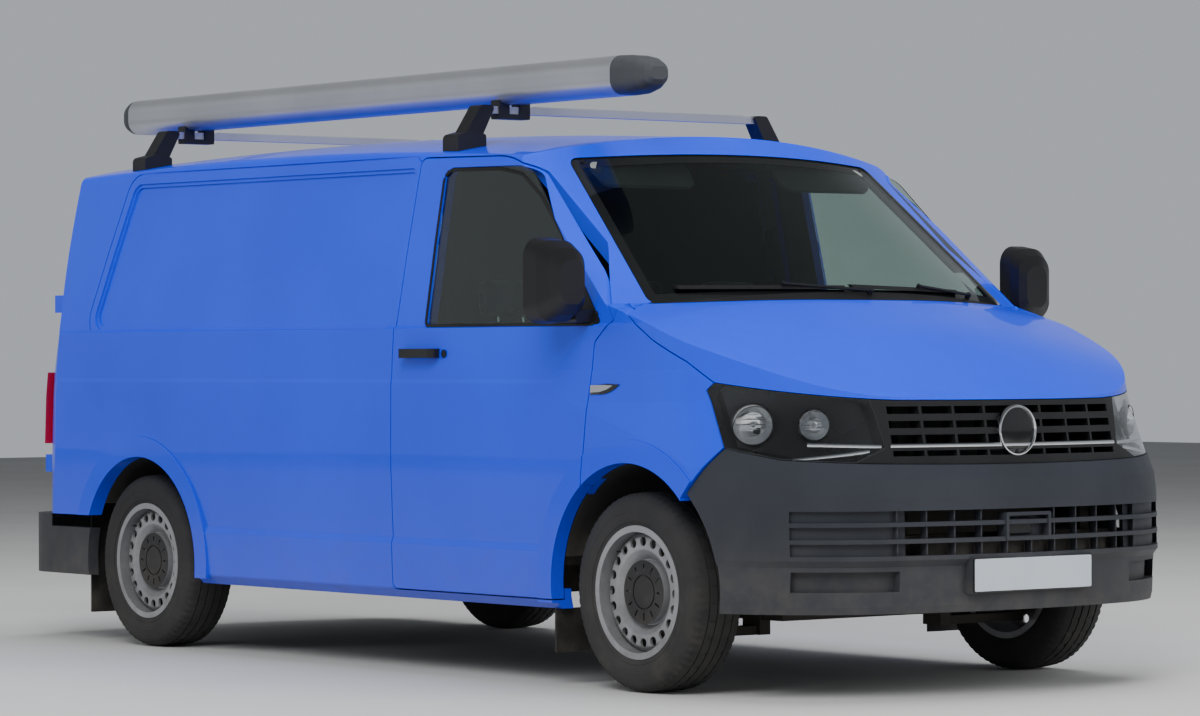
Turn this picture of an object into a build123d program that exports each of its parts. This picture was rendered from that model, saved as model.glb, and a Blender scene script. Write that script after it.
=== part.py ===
from build123d import *
from math import acos, asin, cos, hypot, pi, radians, sin, tan
import os

os.makedirs("parts", exist_ok=True)

# Panel van. Millimetres, +X forward, +Y to the vehicle's left, +Z up, ground at Z = 0,
# origin under the middle of the bounding box.

# Driving dimensions of the vehicle
HALF_LENGTH = 2452
FRONT_AXLE_X = 1544
REAR_AXLE_X = -1456
WHEEL_Y = 814
TYRE_R = 326
TYRE_WIDTH = 205
AXLE_Z = TYRE_R
SKIN_Y = 950
ROOF_Z = 1910
MIRROR_Y = 1148

# Walls and clearances
WALL = 50
DOOR_T = 44
SEAM = 5
REBATE_T = 26
REBATE_LAP = 34
GLASS_T = 5
GLASS_SET_IN = 5
PRESS_STEPS = ((0, 7), (-14, 14))
GROOVE = (36, 42, 7)
FLARE_PROUD = 8
FIT = 0.3
BEAM_FIT = 0.8

# Heights along the body side
SILL_Z = 257
LOWER_CREASE_Z = 452
WAIST_Z = 1008
BELT_Z = 1200
GUTTER_Z = 1800
FLOOR_Z = 535
FLOOR_T = 21
CAB_FLOOR_Z = 430
ROOF_EDGE_Y = 740
DOOR_TOP_Y = 764
ROOF_SPLIT_Z = 1700
ROOF_EDGE_R = 45

# Wheel arches: X, Z of the opening's centre and its radius
FRONT_ARCH = (1550, 345, 402)
REAR_ARCH = (-1440, 325, 396)
FLARE_WIDTH = 78
WHEELHOUSE_IN_Y = 515
MAT_X = (-2235, 130)
MAT_HALF = 820
MAT_T = 9
WHEELHOUSE_T = 8
RAIL_END_X = -2190

# Doors and lids
SAIL_X = 1268
DOOR_REAR_X = 225
DOOR_HINGE_X = 1350
DOOR_HINGE_Y = -951
DOOR_DEPTH = 56
# Pocket behind the door's front tip: radius about the hinge line and Z
TIP_POCKET = [(0, 1126), (82, 1126), (106, 1178), (138, 1208), (138, 1222), (114, 1262), (106, 1310), (0, 1310)]
REAR_DOOR_Y = 770
REAR_DOOR_SPLIT_Y = -70
REAR_DOOR_Z = (500, 1783)
REAR_TOP_Z = 1795
SLIDE_X = (-885, 150)
SLIDE_Z = (292, 1785)

TAIL_LAMP_Z = (760, 1042)
TAIL_LAMP_X = -2160
TAIL_LAMP_PROUD = (30, 14)
TAIL_LAMP_STEP_Y = 842
DISC_Y = 44

# Rear pivot line of the twin rear doors: a point on it and its forward lean per unit of height
REAR_HINGE_AT = (-2245, -780, 1040)
REAR_HINGE_LEAN = 0.12
REAR_HINGE_BLOCK_Y = (-860, -802)
REAR_POCKET_R = 120


def grown(points, d):
    """Moves an outline's corners outward by d; the corner radii stay concentric."""
    count = len(points)
    turn = 0
    for i in range(count):
        turn += points[i][0] * points[(i + 1) % count][1] - points[(i + 1) % count][0] * points[i][1]
    s = 1 if turn > 0 else -1
    moved = []
    for i in range(count):
        (x0, y0), (x1, y1, r), (x2, y2) = points[i - 1][:2], points[i], points[(i + 1) % count][:2]
        l1 = hypot(x1 - x0, y1 - y0)
        l2 = hypot(x2 - x1, y2 - y1)
        a = ((x1 - x0) / l1, (y1 - y0) / l1)
        b = ((x2 - x1) / l2, (y2 - y1) / l2)
        na = (a[1] * s, -a[0] * s)
        nb = (b[1] * s, -b[0] * s)
        k = d / (1 + na[0] * nb[0] + na[1] * nb[1])
        outward = (a[0] * b[1] - a[1] * b[0]) * s > 0
        radius = 0 if r <= 0 else max(r + (d if outward else -d), 1)
        moved.append((x1 + (na[0] + nb[0]) * k, y1 + (na[1] + nb[1]) * k, radius))
    return moved


def outline(points, plane, d=0):
    """Face in a plane from corners (u, v, corner radius), moved outward by d."""
    points = grown(points, d) if d else points
    count = len(points)
    corners = []
    for i in range(count):
        (x0, y0), (x1, y1, r), (x2, y2) = points[i - 1][:2], points[i], points[(i + 1) % count][:2]
        if r <= 0:
            corners.append(((x1, y1), None, (x1, y1)))
            continue
        l1 = hypot(x1 - x0, y1 - y0)
        l2 = hypot(x2 - x1, y2 - y1)
        a = ((x0 - x1) / l1, (y0 - y1) / l1)
        b = ((x2 - x1) / l2, (y2 - y1) / l2)
        half = acos(max(-1, min(1, a[0] * b[0] + a[1] * b[1]))) / 2
        t = r / tan(half)
        size = hypot(a[0] + b[0], a[1] + b[1])
        h = r / sin(half) - r
        middle = (x1 + (a[0] + b[0]) / size * h, y1 + (a[1] + b[1]) / size * h)
        corners.append(((x1 + a[0] * t, y1 + a[1] * t), middle, (x1 + b[0] * t, y1 + b[1] * t)))

    def place(p):
        return plane.from_local_coords(Vector(p[0], p[1], 0))

    edges = []
    for i in range(count):
        start, middle, end = corners[i]
        if middle is not None:
            edges.append(Edge.make_three_point_arc(place(start), place(middle), place(end)))
        following = corners[(i + 1) % count][0]
        if hypot(following[0] - end[0], following[1] - end[1]) > 1e-6:
            edges.append(Edge.make_line(place(end), place(following)))
    return Face(Wire(edges))


def prism_y(points, y0, y1, d=0):
    """Solid between two Y planes from an X-Z outline."""
    return extrude(outline(points, Plane.XZ.offset(-y0), d), y1 - y0, dir=(0, 1, 0))


def prism_x(points, x0, x1, d=0):
    """Solid between two X planes from a Y-Z outline."""
    return extrude(outline(points, Plane.YZ.offset(x0), d), x1 - x0, dir=(1, 0, 0))


def prism_z(points, z0, z1, d=0):
    """Solid between two Z planes from an X-Y outline."""
    return extrude(outline(points, Plane.XY.offset(z0), d), z1 - z0, dir=(0, 0, 1))


def box(x0, x1, y0, y1, z0, z1):
    """Block between six planes."""
    return Pos((x0 + x1) / 2, (y0 + y1) / 2, (z0 + z1) / 2) * Box(x1 - x0, y1 - y0, z1 - z0)


def rod(a, b, radius):
    """Round bar between two points."""
    a = Vector(*a)
    b = Vector(*b)
    return Plane(origin=a, z_dir=b - a) * Cylinder(radius, (b - a).length, align=(Align.CENTER, Align.CENTER, Align.MIN))


def disc_y(x, z, radius, y0, y1):
    """Round slug with its axis along Y."""
    return rod((x, y0, z), (x, y1, z), radius)


def turned_y(points, x, z, d=0):
    """Ring turned about a line along Y from an outline of (Y, radius, corner radius)."""
    face = outline([(p[0], p[1], p[2]) for p in points], Plane(origin=(x, 0, z), x_dir=(0, 1, 0), z_dir=(1, 0, 0)), d)
    return revolve(face, Axis((x, 0, z), (0, 1, 0)), 360)


def both(part):
    """A right-hand piece and its left-hand twin, as two solids of one piece."""
    return part + mirror(part, about=Plane.XZ)


# Body envelope
# Half section across the body: Y, Z, corner radius
SIDE_SECTION = [
    (731, 2200, 0),
    (872, 1505, 3000),
    (928, BELT_Z + 2, 0),
    (940, BELT_Z - 8, 0),
    (946, 1100, 0),
    (SKIN_Y, WAIST_Z + 10, 0),
    (SKIN_Y + 3, WAIST_Z - 5, 0),
    (SKIN_Y + 5, 720, 1500),
    (945, LOWER_CREASE_Z + 18, 0),
    (SKIN_Y + 3, LOWER_CREASE_Z - 6, 0),
    (947, 290, 15),
    (905, 250, 0),
    (905, -200, 0),
]
# The same without creases, for inner walls, glass and flares
PLAIN_SECTION = [
    (731, 2200, 0),
    (872, 1505, 3000),
    (930, BELT_Z - 5, 900),
    (SKIN_Y, 1000, 900),
    (SKIN_Y, 720, 1500),
    (948, 290, 0),
    (905, -200, 0),
]
# Level outlines: Z, nose X, nose radius, its half angle, corner radius, side angle, tail X, tail corner radius
BODY_LEVELS = [
    (-210, 2350, 2300, 14.2, 540, 2.0, -2371, 300),
    (738, 2385, 2200, 14.15, 560, 2.0, -2360, 300),
    (945, 2350, 1790, 15.3, 630, 2.2, -2350, 300),
    (1050, 2335, 1750, 15.3, 635, 2.2, -2338, 300),
    (1270, 2306.7, 1740, 15.3, 636, 2.2, -2282, 290),
    (2100, 2200, 1700, 15.3, 640, 2.2, -2150, 270),
]
BUMPER_LEVELS = [
    (150, 2380, 2300, 11.8, 600, 2.0, -2300, 170),
    (300, 2425, 2300, 11.8, 600, 2.0, -2300, 170),
    (425, 2432, 2300, 11.8, 600, 2.0, -2300, 170),
    (446, HALF_LENGTH, 2300, 11.8, 600, 2.0, -2300, 170),
    (640, 2446, 2300, 11.8, 600, 2.0, -2300, 170),
    (700, 2434, 2250, 12.4, 590, 2.0, -2300, 170),
    (745, 2404, 2200, 13.4, 570, 2.0, -2300, 170),
    (860, 2362, 2000, 14.4, 580, 2.0, -2300, 170),
]
TAIL_R = 3000
LEVEL_MIDDLE_X = 200
LEVEL_SIDE_Y = SKIN_Y + 15
# Lengthwise lines, X, Z, corner radius: each bounds the space above roof and bonnet
ROOF_LINE = [
    (3200, 2600, 0),
    (-3200, 2600, 0),
    (-3200, REAR_TOP_Z, 0),
    (-2240, REAR_TOP_Z, 0),
    (-2176, 1884, 60),
    (-900, 1918, 30000),
    (150, 1896, 16000),
    (1000, 1852, 0),
    (3200, 1700, 0),
]
BONNET_LINE = [
    (3200, 2600, 0),
    (600, 2600, 0),
    (600, 1560, 0),
    (1640, 1283, 800),
    (2010, 1142, 2000),
    (2380, 930, 0),
    (3200, 500, 0),
]
ROOF_CROWN_R = 3900
BONNET_CROWN_R = 5000
CROWN_SWEEP = 34
# Windscreen: foot X and Z on the centre line, its plan radius, and the slope's run and rise
SCREEN_FOOT = (1640, 1280)
SCREEN_R = 1715
SCREEN_SLOPE = (640, 495)
SCREEN_HALF_SWEEP = 42


def section(d, creased=False):
    """Body's cross section, moved inward by d, run along the whole length."""
    half = SIDE_SECTION if creased else PLAIN_SECTION
    around = [(-y, z, r) for y, z, r in half] + [(y, z, r) for y, z, r in reversed(half)]
    return prism_x(around, -2600, 2700, -d)


def level_wire(level, d):
    """Plan outline at one height, moved inward by d."""
    z, nose_x, nose_r, nose_angle, corner_r, side_angle, tail_x, tail_r = level
    a = radians(nose_angle)
    s = radians(side_angle)
    nose_c = nose_x - nose_r
    corner_c = (nose_c + (nose_r - corner_r) * cos(a), (nose_r - corner_r) * sin(a))
    m = (a + (pi / 2 - s)) / 2
    r = corner_r - d
    b = (nose_c + (nose_r - d) * cos(a), (nose_r - d) * sin(a))
    mid = (corner_c[0] + r * cos(m), corner_c[1] + r * sin(m))
    e = (corner_c[0] + r * sin(s), corner_c[1] + r * cos(s))
    side = (LEVEL_MIDDLE_X, e[1] + (e[0] - LEVEL_MIDDLE_X) * tan(s))
    side_y = LEVEL_SIDE_Y - d
    tail_c = tail_x + TAIL_R
    back_y = LEVEL_SIDE_Y - tail_r
    back_x = tail_c - ((TAIL_R - tail_r) ** 2 - back_y ** 2) ** 0.5
    c = asin(back_y / (TAIL_R - tail_r))
    tail_r = max(tail_r - d, 5)
    t1 = (back_x, side_y)
    t2 = (back_x - tail_r * cos(c), back_y + tail_r * sin(c))
    tm = (back_x - tail_r * sin(pi / 4 - c / 2), back_y + tail_r * cos(pi / 4 - c / 2))

    def at(p, sign=1):
        return Vector(p[0], sign * p[1], z)

    return Wire([
        Edge.make_three_point_arc(at(b, -1), Vector(nose_x - d, 0, z), at(b)),
        Edge.make_three_point_arc(at(b), at(mid), at(e)),
        Edge.make_line(at(e), at(side)),
        Edge.make_line(at(side), at(t1)),
        Edge.make_three_point_arc(at(t1), at(tm), at(t2)),
        Edge.make_three_point_arc(at(t2), Vector(tail_x + d, 0, z), at(t2, -1)),
        Edge.make_three_point_arc(at(t2, -1), at(tm, -1), at(t1, -1)),
        Edge.make_line(at(t1, -1), at(side, -1)),
        Edge.make_line(at(side, -1), at(e, -1)),
        Edge.make_three_point_arc(at(e, -1), at(mid, -1), at(b, -1)),
    ])


def levels_body(levels, d):
    """Solid through the plan outlines."""
    return Part() + Solid.make_loft([level_wire(level, d) for level in levels], ruled=True)


def above(line, crown_r, z_ref, d):
    """Space above a lengthwise line that is crowned across the body, grown by d."""
    axis = Axis((0, 0, z_ref - crown_r), (1, 0, 0))
    face = outline(line, Plane.XZ, d).rotate(axis, -CROWN_SWEEP / 2)
    return revolve(face, axis, CROWN_SWEEP)


def ahead_of_screen(d):
    """Space ahead of the windscreen's surface, grown rearward by d."""
    run, rise = SCREEN_SLOPE
    x0 = SCREEN_FOOT[0] - d * hypot(run, rise) / rise
    r = SCREEN_R - d
    h = radians(SCREEN_HALF_SWEEP)
    y = r * sin(h)
    x = x0 - r + r * cos(h)
    z = SCREEN_FOOT[1]
    face = Face(Wire([
        Edge.make_three_point_arc(Vector(x, -y, z), Vector(x0, 0, z), Vector(x, y, z)),
        Edge.make_line(Vector(x, y, z), Vector(5000, y, z)),
        Edge.make_line(Vector(5000, y, z), Vector(5000, -y, z)),
        Edge.make_line(Vector(5000, -y, z), Vector(x, -y, z)),
    ]))
    face = face.moved(Location((run * 2.4, 0, -rise * 2.4)))
    return Part() + Solid.extrude(face, Vector(-run * 4.2, 0, rise * 4.2))


def envelope(d, creased=False):
    """Whole body without its openings, moved inward by d."""
    hull = levels_body(BODY_LEVELS, d) & section(d, creased)
    hull = hull - above(ROOF_LINE, ROOF_CROWN_R, ROOF_Z, d)
    return hull - (ahead_of_screen(d) & above(BONNET_LINE, BONNET_CROWN_R, SCREEN_FOOT[1], d))


def roof_edges(hull):
    """Long edges where the crowned roof meets the sides."""
    found = []
    for edge in hull.edges():
        c = edge.center()
        if c.Z > 1775 and abs(c.Y) > 795 and -2290 < c.X < 900 and edge.length > 60:
            found.append(edge)
    return found


outer = envelope(0, True)
outer = fillet(roof_edges(outer), ROOF_EDGE_R)
cavity = envelope(WALL)
door_cavity = envelope(DOOR_T)
rebate_cavity = envelope(WALL + REBATE_T)
shell = outer - cavity
door_shell = outer - door_cavity
rebate_shell = cavity - rebate_cavity
flare_hull = (levels_body(BODY_LEVELS, -FLARE_PROUD) & section(-FLARE_PROUD)) - cavity

SLIDE_OUTLINE = [
    (SLIDE_X[0], SLIDE_Z[0], 30),
    (SLIDE_X[0], SLIDE_Z[1], 60),
    (SLIDE_X[1], SLIDE_Z[1], 30),
    (SLIDE_X[1], SLIDE_Z[0], 25),
]
SLIDE_PRESSING = [(SLIDE_X[0] + 30, 1206, 45), (SLIDE_X[0] + 30, 1757, 55), (SLIDE_X[1] - 28, 1757, 30), (SLIDE_X[1] - 28, 1200, 30)]
QUARTER_PRESSING = [(-1668, 1762, 55), (SLIDE_X[0] - 40, 1760, 40), (SLIDE_X[0] - 40, 1204, 40), (-1828, 1206, 55)]
SLIDE_RAIL_X = (-2200, SLIDE_X[0] - SEAM)
SLIDE_RAIL_Z = (1086, 1106)
SLIDE_RAIL_DEPTH = 14
REAR_HINGE_Z = (682, 1309)
BONNET_HINGE = (1456, 1252)
HINGE_EAR_Y = (-864, -852)
HINGE_SLOT_GAP = 6
HINGE_EYE_R = 12
BONNET_PIN_R = 6

# Outlines in side view: X, Z, corner radius
DOOR_OUTLINE = [
    (DOOR_REAR_X, 288, 25),
    (DOOR_REAR_X, 1790, 30),
    (800, 1778, 500),
    (1120, 1570, 1500),
    (1452, 1212, 8),
    (1368, 1140, 40),
    (1312, 694, 0),
    (1300, 288, 0),
]
DOOR_WINDOW = [(385, 1750, 40), (410, 1198, 22), (1394, 1198, 10), (1090, 1518, 2500), (862, 1742, 170)]
SIDE_PRESSING = [(-1668, 1762, 55), (207, 1756, 30), (185, 1192, 30), (-1828, 1206, 55)]
WING_OUTLINE = [
    (1312, 694, 0),
    (1368, 1140, 40),
    (1452, 1212, 0),
    (1464, 1262, 0),
    (1545, 1213, 0),
    (1657, 1145, 0),
    (1811, 1074, 0),
    (1915, 1006, 0),
    (1892, 983, 0),
    (1986, 802, 0),
    (1835, 640, 0),
    (1835, 500, 0),
    (1312, 500, 0),
]
BONNET_OUTLINE = [(1464, 1262, 0), (1545, 1213, 0), (1657, 1145, 0), (1811, 1074, 0), (1915, 1006, 0), (2290, 949, 0)]
BONNET_OUTLINE += [(2460, 944, 0), (2460, 1500, 0), (1464, 1500, 0)]
NOSE_OUTLINE = [(1892, 983, 0), (1915, 1006, 0), (2290, 949, 0), (2460, 944, 0), (2460, 738, 0), (2150, 765, 0), (1986, 802, 0)]
BUMPER_OUTLINE = [(1835, 640, 0), (1986, 802, 0), (2150, 765, 0), (2480, 738, 0), (2480, 274, 0), (1835, 274, 0)]
# Lamp's inner end in front view: Y, Z
LAMP_FRONT = [(-534, 952, 0), (-508, 799, 0), (-655, 735, 0), (-1100, 735, 0), (-1100, 1020, 0), (-534, 1020, 0)]
SIDE_OUTLINE = [
    (-2600, 490, 0),
    (-1790, 490, 0),
    (-1790, SILL_Z, 0),
    (1300, SILL_Z, 0),
    (1312, 694, 0),
    (1368, 1140, 40),
    (1452, 1212, 0),
    (1464, 1262, 0),
    (1464, 2100, 0),
    (-2600, 2100, 0),
]
# Windscreen opening in front view: Y, Z, corner radius
SCREEN_OUTLINE = [
    (-790, 1262, 20),
    (0, 1345, 7000),
    (790, 1262, 20),
    (672, 1768, 45),
    (0, 1806, 9000),
    (-672, 1768, 45),
]
front_arch = disc_y(FRONT_ARCH[0], FRONT_ARCH[1], FRONT_ARCH[2], -1200, -WHEELHOUSE_IN_Y)
rear_arch = disc_y(REAR_ARCH[0], REAR_ARCH[1], REAR_ARCH[2], -1200, -WHEELHOUSE_IN_Y)


def flare(arch):
    """Raised band round a wheel arch on the right-hand side."""
    x, z, r = arch
    ring = disc_y(x, z, r + FLARE_WIDTH, -1200, -800)
    return ring & flare_hull & box(-2600, 2600, -1200, -800, SILL_Z + 20, 1200)


door_zone = prism_y(DOOR_OUTLINE, -1200, -DOOR_TOP_Y, -SEAM / 2)
door_hole = prism_y(DOOR_OUTLINE, -1200, -DOOR_TOP_Y + 2, SEAM / 2)
window_zone = prism_y(DOOR_WINDOW, -1200, -500)
screen_zone = prism_x(SCREEN_OUTLINE, 500, 2000)
rear_hole = box(-2600, -1900, -REAR_DOOR_Y - SEAM / 2, REAR_DOOR_Y + SEAM / 2, REAR_DOOR_Z[0] - SEAM, REAR_TOP_Z)
rear_hole = rear_hole - levels_body(BODY_LEVELS, WALL + REBATE_T)
roof_zone = box(-2600, 1300, -ROOF_EDGE_Y, ROOF_EDGE_Y, ROOF_SPLIT_Z, 2100) - rear_hole

# Front doors
front_flare = flare(FRONT_ARCH)
door_right = ((door_shell & door_zone) + (front_flare & door_zone)) - door_cavity - front_arch - window_zone
door_right = door_right - section(DOOR_DEPTH)
door_glass = (section(GLASS_SET_IN) - section(GLASS_SET_IN + GLASS_T)) & window_zone
door_glass = door_glass - box(SAIL_X - FIT, 1500, -1200, 0, 1000, 1900)

# Body sides
rebate_zone = prism_y(DOOR_OUTLINE, -1200, -700, REBATE_LAP) - prism_y(DOOR_OUTLINE, -1200, -700, -REBATE_LAP)
side_zone = prism_y(SIDE_OUTLINE, -1200, 0)
hinge_x, hinge_y, hinge_z = REAR_HINGE_AT
rear_pocket = rod(
    (hinge_x - REAR_HINGE_LEAN * (hinge_z - 500), hinge_y, 500),
    (hinge_x + REAR_HINGE_LEAN * (1790 - hinge_z), hinge_y, 1790),
    REAR_POCKET_R,
)
side_right = (shell & side_zone) - door_hole
side_right = side_right + (flare(REAR_ARCH) & side_zone)
side_right = side_right + ((front_flare & side_zone) - door_hole)
side_right = side_right + (rebate_shell & rebate_zone & box(-2600, 1460, -1200, 0, SILL_Z, 1900))
side_right = side_right - front_arch - rear_arch - screen_zone - roof_zone - rear_hole
side_right = side_right - box(-2600, TAIL_LAMP_X, -1100, -700, TAIL_LAMP_Z[0], TAIL_LAMP_Z[1])
hinge_slot = box(1434, 1560, HINGE_EAR_Y[0] - HINGE_SLOT_GAP, HINGE_EAR_Y[1] + HINGE_SLOT_GAP, 1180, 1320)
tip_plane = Plane(origin=(DOOR_HINGE_X, DOOR_HINGE_Y, 0), x_dir=(1, 0, 0), z_dir=(0, -1, 0))
tip_face = outline([(r, z, 0) for r, z in TIP_POCKET], tip_plane)
tip_pocket = revolve(tip_face, Axis((DOOR_HINGE_X, DOOR_HINGE_Y, 0), (0, 0, 1)), 360)
side_right = side_right - hinge_slot - (tip_pocket & door_cavity)
side_right = side_right + (disc_y(BONNET_HINGE[0], BONNET_HINGE[1], BONNET_PIN_R, -885, -835) & outer)
for z in REAR_HINGE_Z:
    hinge_x = REAR_HINGE_AT[0] + REAR_HINGE_LEAN * (z - REAR_HINGE_AT[2])
    block = box(hinge_x + 1, hinge_x + 110, *REAR_HINGE_BLOCK_Y, z - 34, z + 34)
    side_right = side_right + (block - outer) + (block & shell)


def pressed(panel, corners):
    """A right-hand panel with a stepped pressing."""
    for grow_by, depth in PRESS_STEPS:
        panel = panel - (prism_y(corners, -1200, -500, grow_by) - section(depth))
    return panel


def grooved(panel):
    """A right-hand panel with the groove above and behind its pressing."""
    low, high, depth = GROOVE
    ring = prism_y(SIDE_PRESSING, -1200, -500, high) - prism_y(SIDE_PRESSING, -1200, -500, low)
    ring = ring & box(-2600, DOOR_REAR_X - SEAM / 2, -1200, -500, BELT_Z + 5, 2000)
    return panel - (ring - section(depth))


blank_side = grooved(side_right)
side_right = pressed(blank_side, SIDE_PRESSING)
slide_zone = prism_y(SLIDE_OUTLINE, -1200, -DOOR_TOP_Y, -SEAM / 2)
slide_hole = prism_y(SLIDE_OUTLINE, -1200, -DOOR_TOP_Y + 2, SEAM / 2)
slide_ring = prism_y(SLIDE_OUTLINE, -1200, -700, REBATE_LAP) - prism_y(SLIDE_OUTLINE, -1200, -700, -REBATE_LAP)
quarter = blank_side - slide_hole + (rebate_shell & slide_ring & box(-2600, 1460, -1200, 0, SILL_Z, 1900))
quarter = pressed(quarter - rear_arch, QUARTER_PRESSING)
quarter = quarter - (box(SLIDE_RAIL_X[0], SLIDE_RAIL_X[1], -1200, -500, *SLIDE_RAIL_Z) - section(SLIDE_RAIL_DEPTH))
side_left = mirror(quarter, about=Plane.XZ)
sliding_door = pressed(grooved(shell & slide_zone), SLIDE_PRESSING)
sliding_door = mirror(sliding_door, about=Plane.XZ)
roof = (shell & roof_zone) - screen_zone

# Wings, bonnet and nose
wing_right = (shell & prism_y(WING_OUTLINE, -1200, -400, -SEAM / 2))
wing_right = wing_right + (front_flare & prism_y(WING_OUTLINE, -1200, -400, -SEAM / 2))
wing_right = wing_right - front_arch - hinge_slot
windscreen = (ahead_of_screen(GLASS_SET_IN + GLASS_T) - ahead_of_screen(GLASS_SET_IN)) & screen_zone


# Running gear
RIM_R = 204
RIM_FLANGE_R = 218
# Tyre section: distance from the wheel's middle plane, radius, corner radius
TYRE_SECTION = [
    (-82, RIM_R + 0.3, 0),
    (-84, 224, 10),
    (-103, 262, 40),
    (-91, 315, 20),
    (-50, TYRE_R, 300),
    (50, TYRE_R, 300),
    (91, 315, 20),
    (103, 262, 40),
    (84, 224, 10),
    (82, RIM_R + 0.3, 0),
]
HUB_HOLES = 20
CAP_SLOTS = 12
CAP_RING_R = (52, 57)
HUB_HOLE_R = 15.5
HUB_HOLE_PITCH_R = 165


def ring_y(radius_out, radius_in, x, z, y0, y1):
    """Ring with its axis along Y."""
    return disc_y(x, z, radius_out, y0, y1) - disc_y(x, z, radius_in, y0 - 1, y1 + 1)


def tyre(x, y):
    """Tyre round a wheel at X and Y."""
    points = [(y + v, r, c) for v, r, c in TYRE_SECTION]
    return turned_y(points, x, AXLE_Z)


def wheel(x, side):
    """Steel wheel, its drop centre, its disc with round holes, and the cap; side is -1 on the right."""
    y = side * WHEEL_Y
    barrel = ring_y(RIM_R, RIM_R - 7, x, AXLE_Z, y - 86, y + 86)
    barrel = barrel + ring_y(RIM_FLANGE_R, RIM_R - 7, x, AXLE_Z, y - 94, y - 86)
    barrel = barrel + ring_y(RIM_FLANGE_R, RIM_R - 7, x, AXLE_Z, y + 86, y + 94)
    face = [
        (DISC_Y - 8, 30, 0),
        (DISC_Y - 8, 108, 0),
        (DISC_Y + 22, 140, 12),
        (DISC_Y + 22, 178, 12),
        (DISC_Y - 4, RIM_R - 4, 0),
        (DISC_Y - 14, RIM_R - 4, 0),
        (DISC_Y + 13, 175, 8),
        (DISC_Y + 13, 143, 8),
        (DISC_Y - 18, 108, 0),
        (DISC_Y - 18, 30, 0),
    ]
    disc = turned_y([(y + side * v, r, c) for v, r, c in face], x, AXLE_Z)
    for i in range(HUB_HOLES):
        a = 2 * pi * i / HUB_HOLES
        hx = x + HUB_HOLE_PITCH_R * cos(a)
        hz = AXLE_Z + HUB_HOLE_PITCH_R * sin(a)
        disc = disc - disc_y(hx, hz, HUB_HOLE_R, min(y, y + side * 90), max(y, y + side * 90))
    cap_in = y + side * (DISC_Y - 18)
    cap_out = y + side * (DISC_Y + 20)
    cap = disc_y(x, AXLE_Z, CAP_R, cap_in, cap_out)
    cap = cap - ring_y(CAP_RING_R[1], CAP_RING_R[0], x, AXLE_Z, *sorted((cap_out - side * 4, cap_out + side * 10)))
    slot = box(x + 68, x + 92, *sorted((cap_out - side * 9, cap_out + side * 5)), AXLE_Z - 3.5, AXLE_Z + 3.5)
    for i in range(CAP_SLOTS):
        cap = cap - slot.rotate(Axis((x, 0, AXLE_Z), (0, 1, 0)), 360 * i / CAP_SLOTS)
    return barrel + disc + cap


def knuckle(side):
    """Front knuckle inside the wheel with its hub and its upper and lower pins."""
    y = side * KINGPIN_Y
    body = box(FRONT_AXLE_X - 28, FRONT_AXLE_X + 28, y - 20, y + 20, ARM_Z[1] + FIT, AXLE_Z + 112)
    hub = disc_y(FRONT_AXLE_X, AXLE_Z, 42, y, side * (WHEEL_Y + DISC_Y - 18 - FIT))
    arm = box(FRONT_AXLE_X - 130, FRONT_AXLE_X, y - 12, y + 12, AXLE_Z - 60, AXLE_Z - 36)
    return body + hub + arm


def seat(y0, y1):
    """Seat with its cushion, its leaning back and its head restraint between two Y planes."""
    side = [
        (SEAT_X + 60, SEAT_Z - 120, 30),
        (SEAT_X + 560, SEAT_Z - 120, 40),
        (SEAT_X + 580, SEAT_Z + 20, 50),
        (SEAT_X + 160, SEAT_Z, 50),
        (SEAT_X + 40, SEAT_Z + 590, 40),
        (SEAT_X - 70, SEAT_Z + 580, 40),
        (SEAT_X, SEAT_Z - 60, 40),
    ]
    return prism_y(side, y0, y1)


CAP_R = 104
KINGPIN_Y = 765
ARM_Z = (170, 200)
SEAT_X = 300
SEAT_SPANS = ((-740, -230), (-150, 740))
SEAT_Z = 800
BUMPER_T = 45
BULKHEAD_X = (148, 168)
FRAME_Z = (420, 520)
FIREWALL_X = 1385
FIREWALL_Z = 1200
BAR_X = (320, -1740)
BAR_Z = (1948, 1974)
BAR_HALF = 625
STRIP_Y = (-400, 550)
STRIP_T = 3
TUBE_Y = -500
TUBE_Z = 2049.5
TUBE_SIZE = (165, 135)
TUBE_R = 52
TUBE_WALL = 4
TUBE_X = (-2110, 995)
TUBE_TIP_X = (-2188, 1161)


def bonnet():
    zone = prism_y(BONNET_OUTLINE, -1100, 1100, -SEAM / 2)
    lid = shell & zone & ahead_of_screen(-SEAM)
    x, z = BONNET_HINGE
    eye = disc_y(x, z, HINGE_EYE_R, *HINGE_EAR_Y)
    ear = eye + prism_y([(x, z - HINGE_EYE_R, 0), (x + 30, z - 48, 0), (x + 95, z - 50, 0), (x + 95, z + HINGE_EYE_R, 0), (x, z + HINGE_EYE_R, 0)], *HINGE_EAR_Y)
    ear = ear - disc_y(x, z, BONNET_PIN_R + FIT, -900, -800)
    ear = ear & (outer + eye)
    return lid + both(ear)


def headlamps():
    zone = prism_y(NOSE_OUTLINE, -1100, 0, -FIT) & prism_x(LAMP_FRONT, 1700, 2500, -FIT)
    return both(shell & zone)


def grille():
    zone = prism_y(NOSE_OUTLINE, -1100, 1100, -FIT)
    lamp = prism_x(LAMP_FRONT, 1700, 2500)
    panel = (shell & zone) - both(lamp)
    # Openings: lower Z, upper Z
    for z0, z1 in GRILLE_ROWS:
        for i in range(GRILLE_CELLS):
            y0 = -GRILLE_HALF + i * 2 * GRILLE_HALF / GRILLE_CELLS
            y1 = y0 + 2 * GRILLE_HALF / GRILLE_CELLS
            panel = panel - box(2100, 2500, y0 + GRILLE_RIB / 2, y1 - GRILLE_RIB / 2, z0, z1)
    return panel


GRILLE_ROWS = [(906, 930), (861, 884), (812, 840), (772, 790)]
GRILLE_CELLS = 8
GRILLE_HALF = 490
GRILLE_RIB = 10


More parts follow.
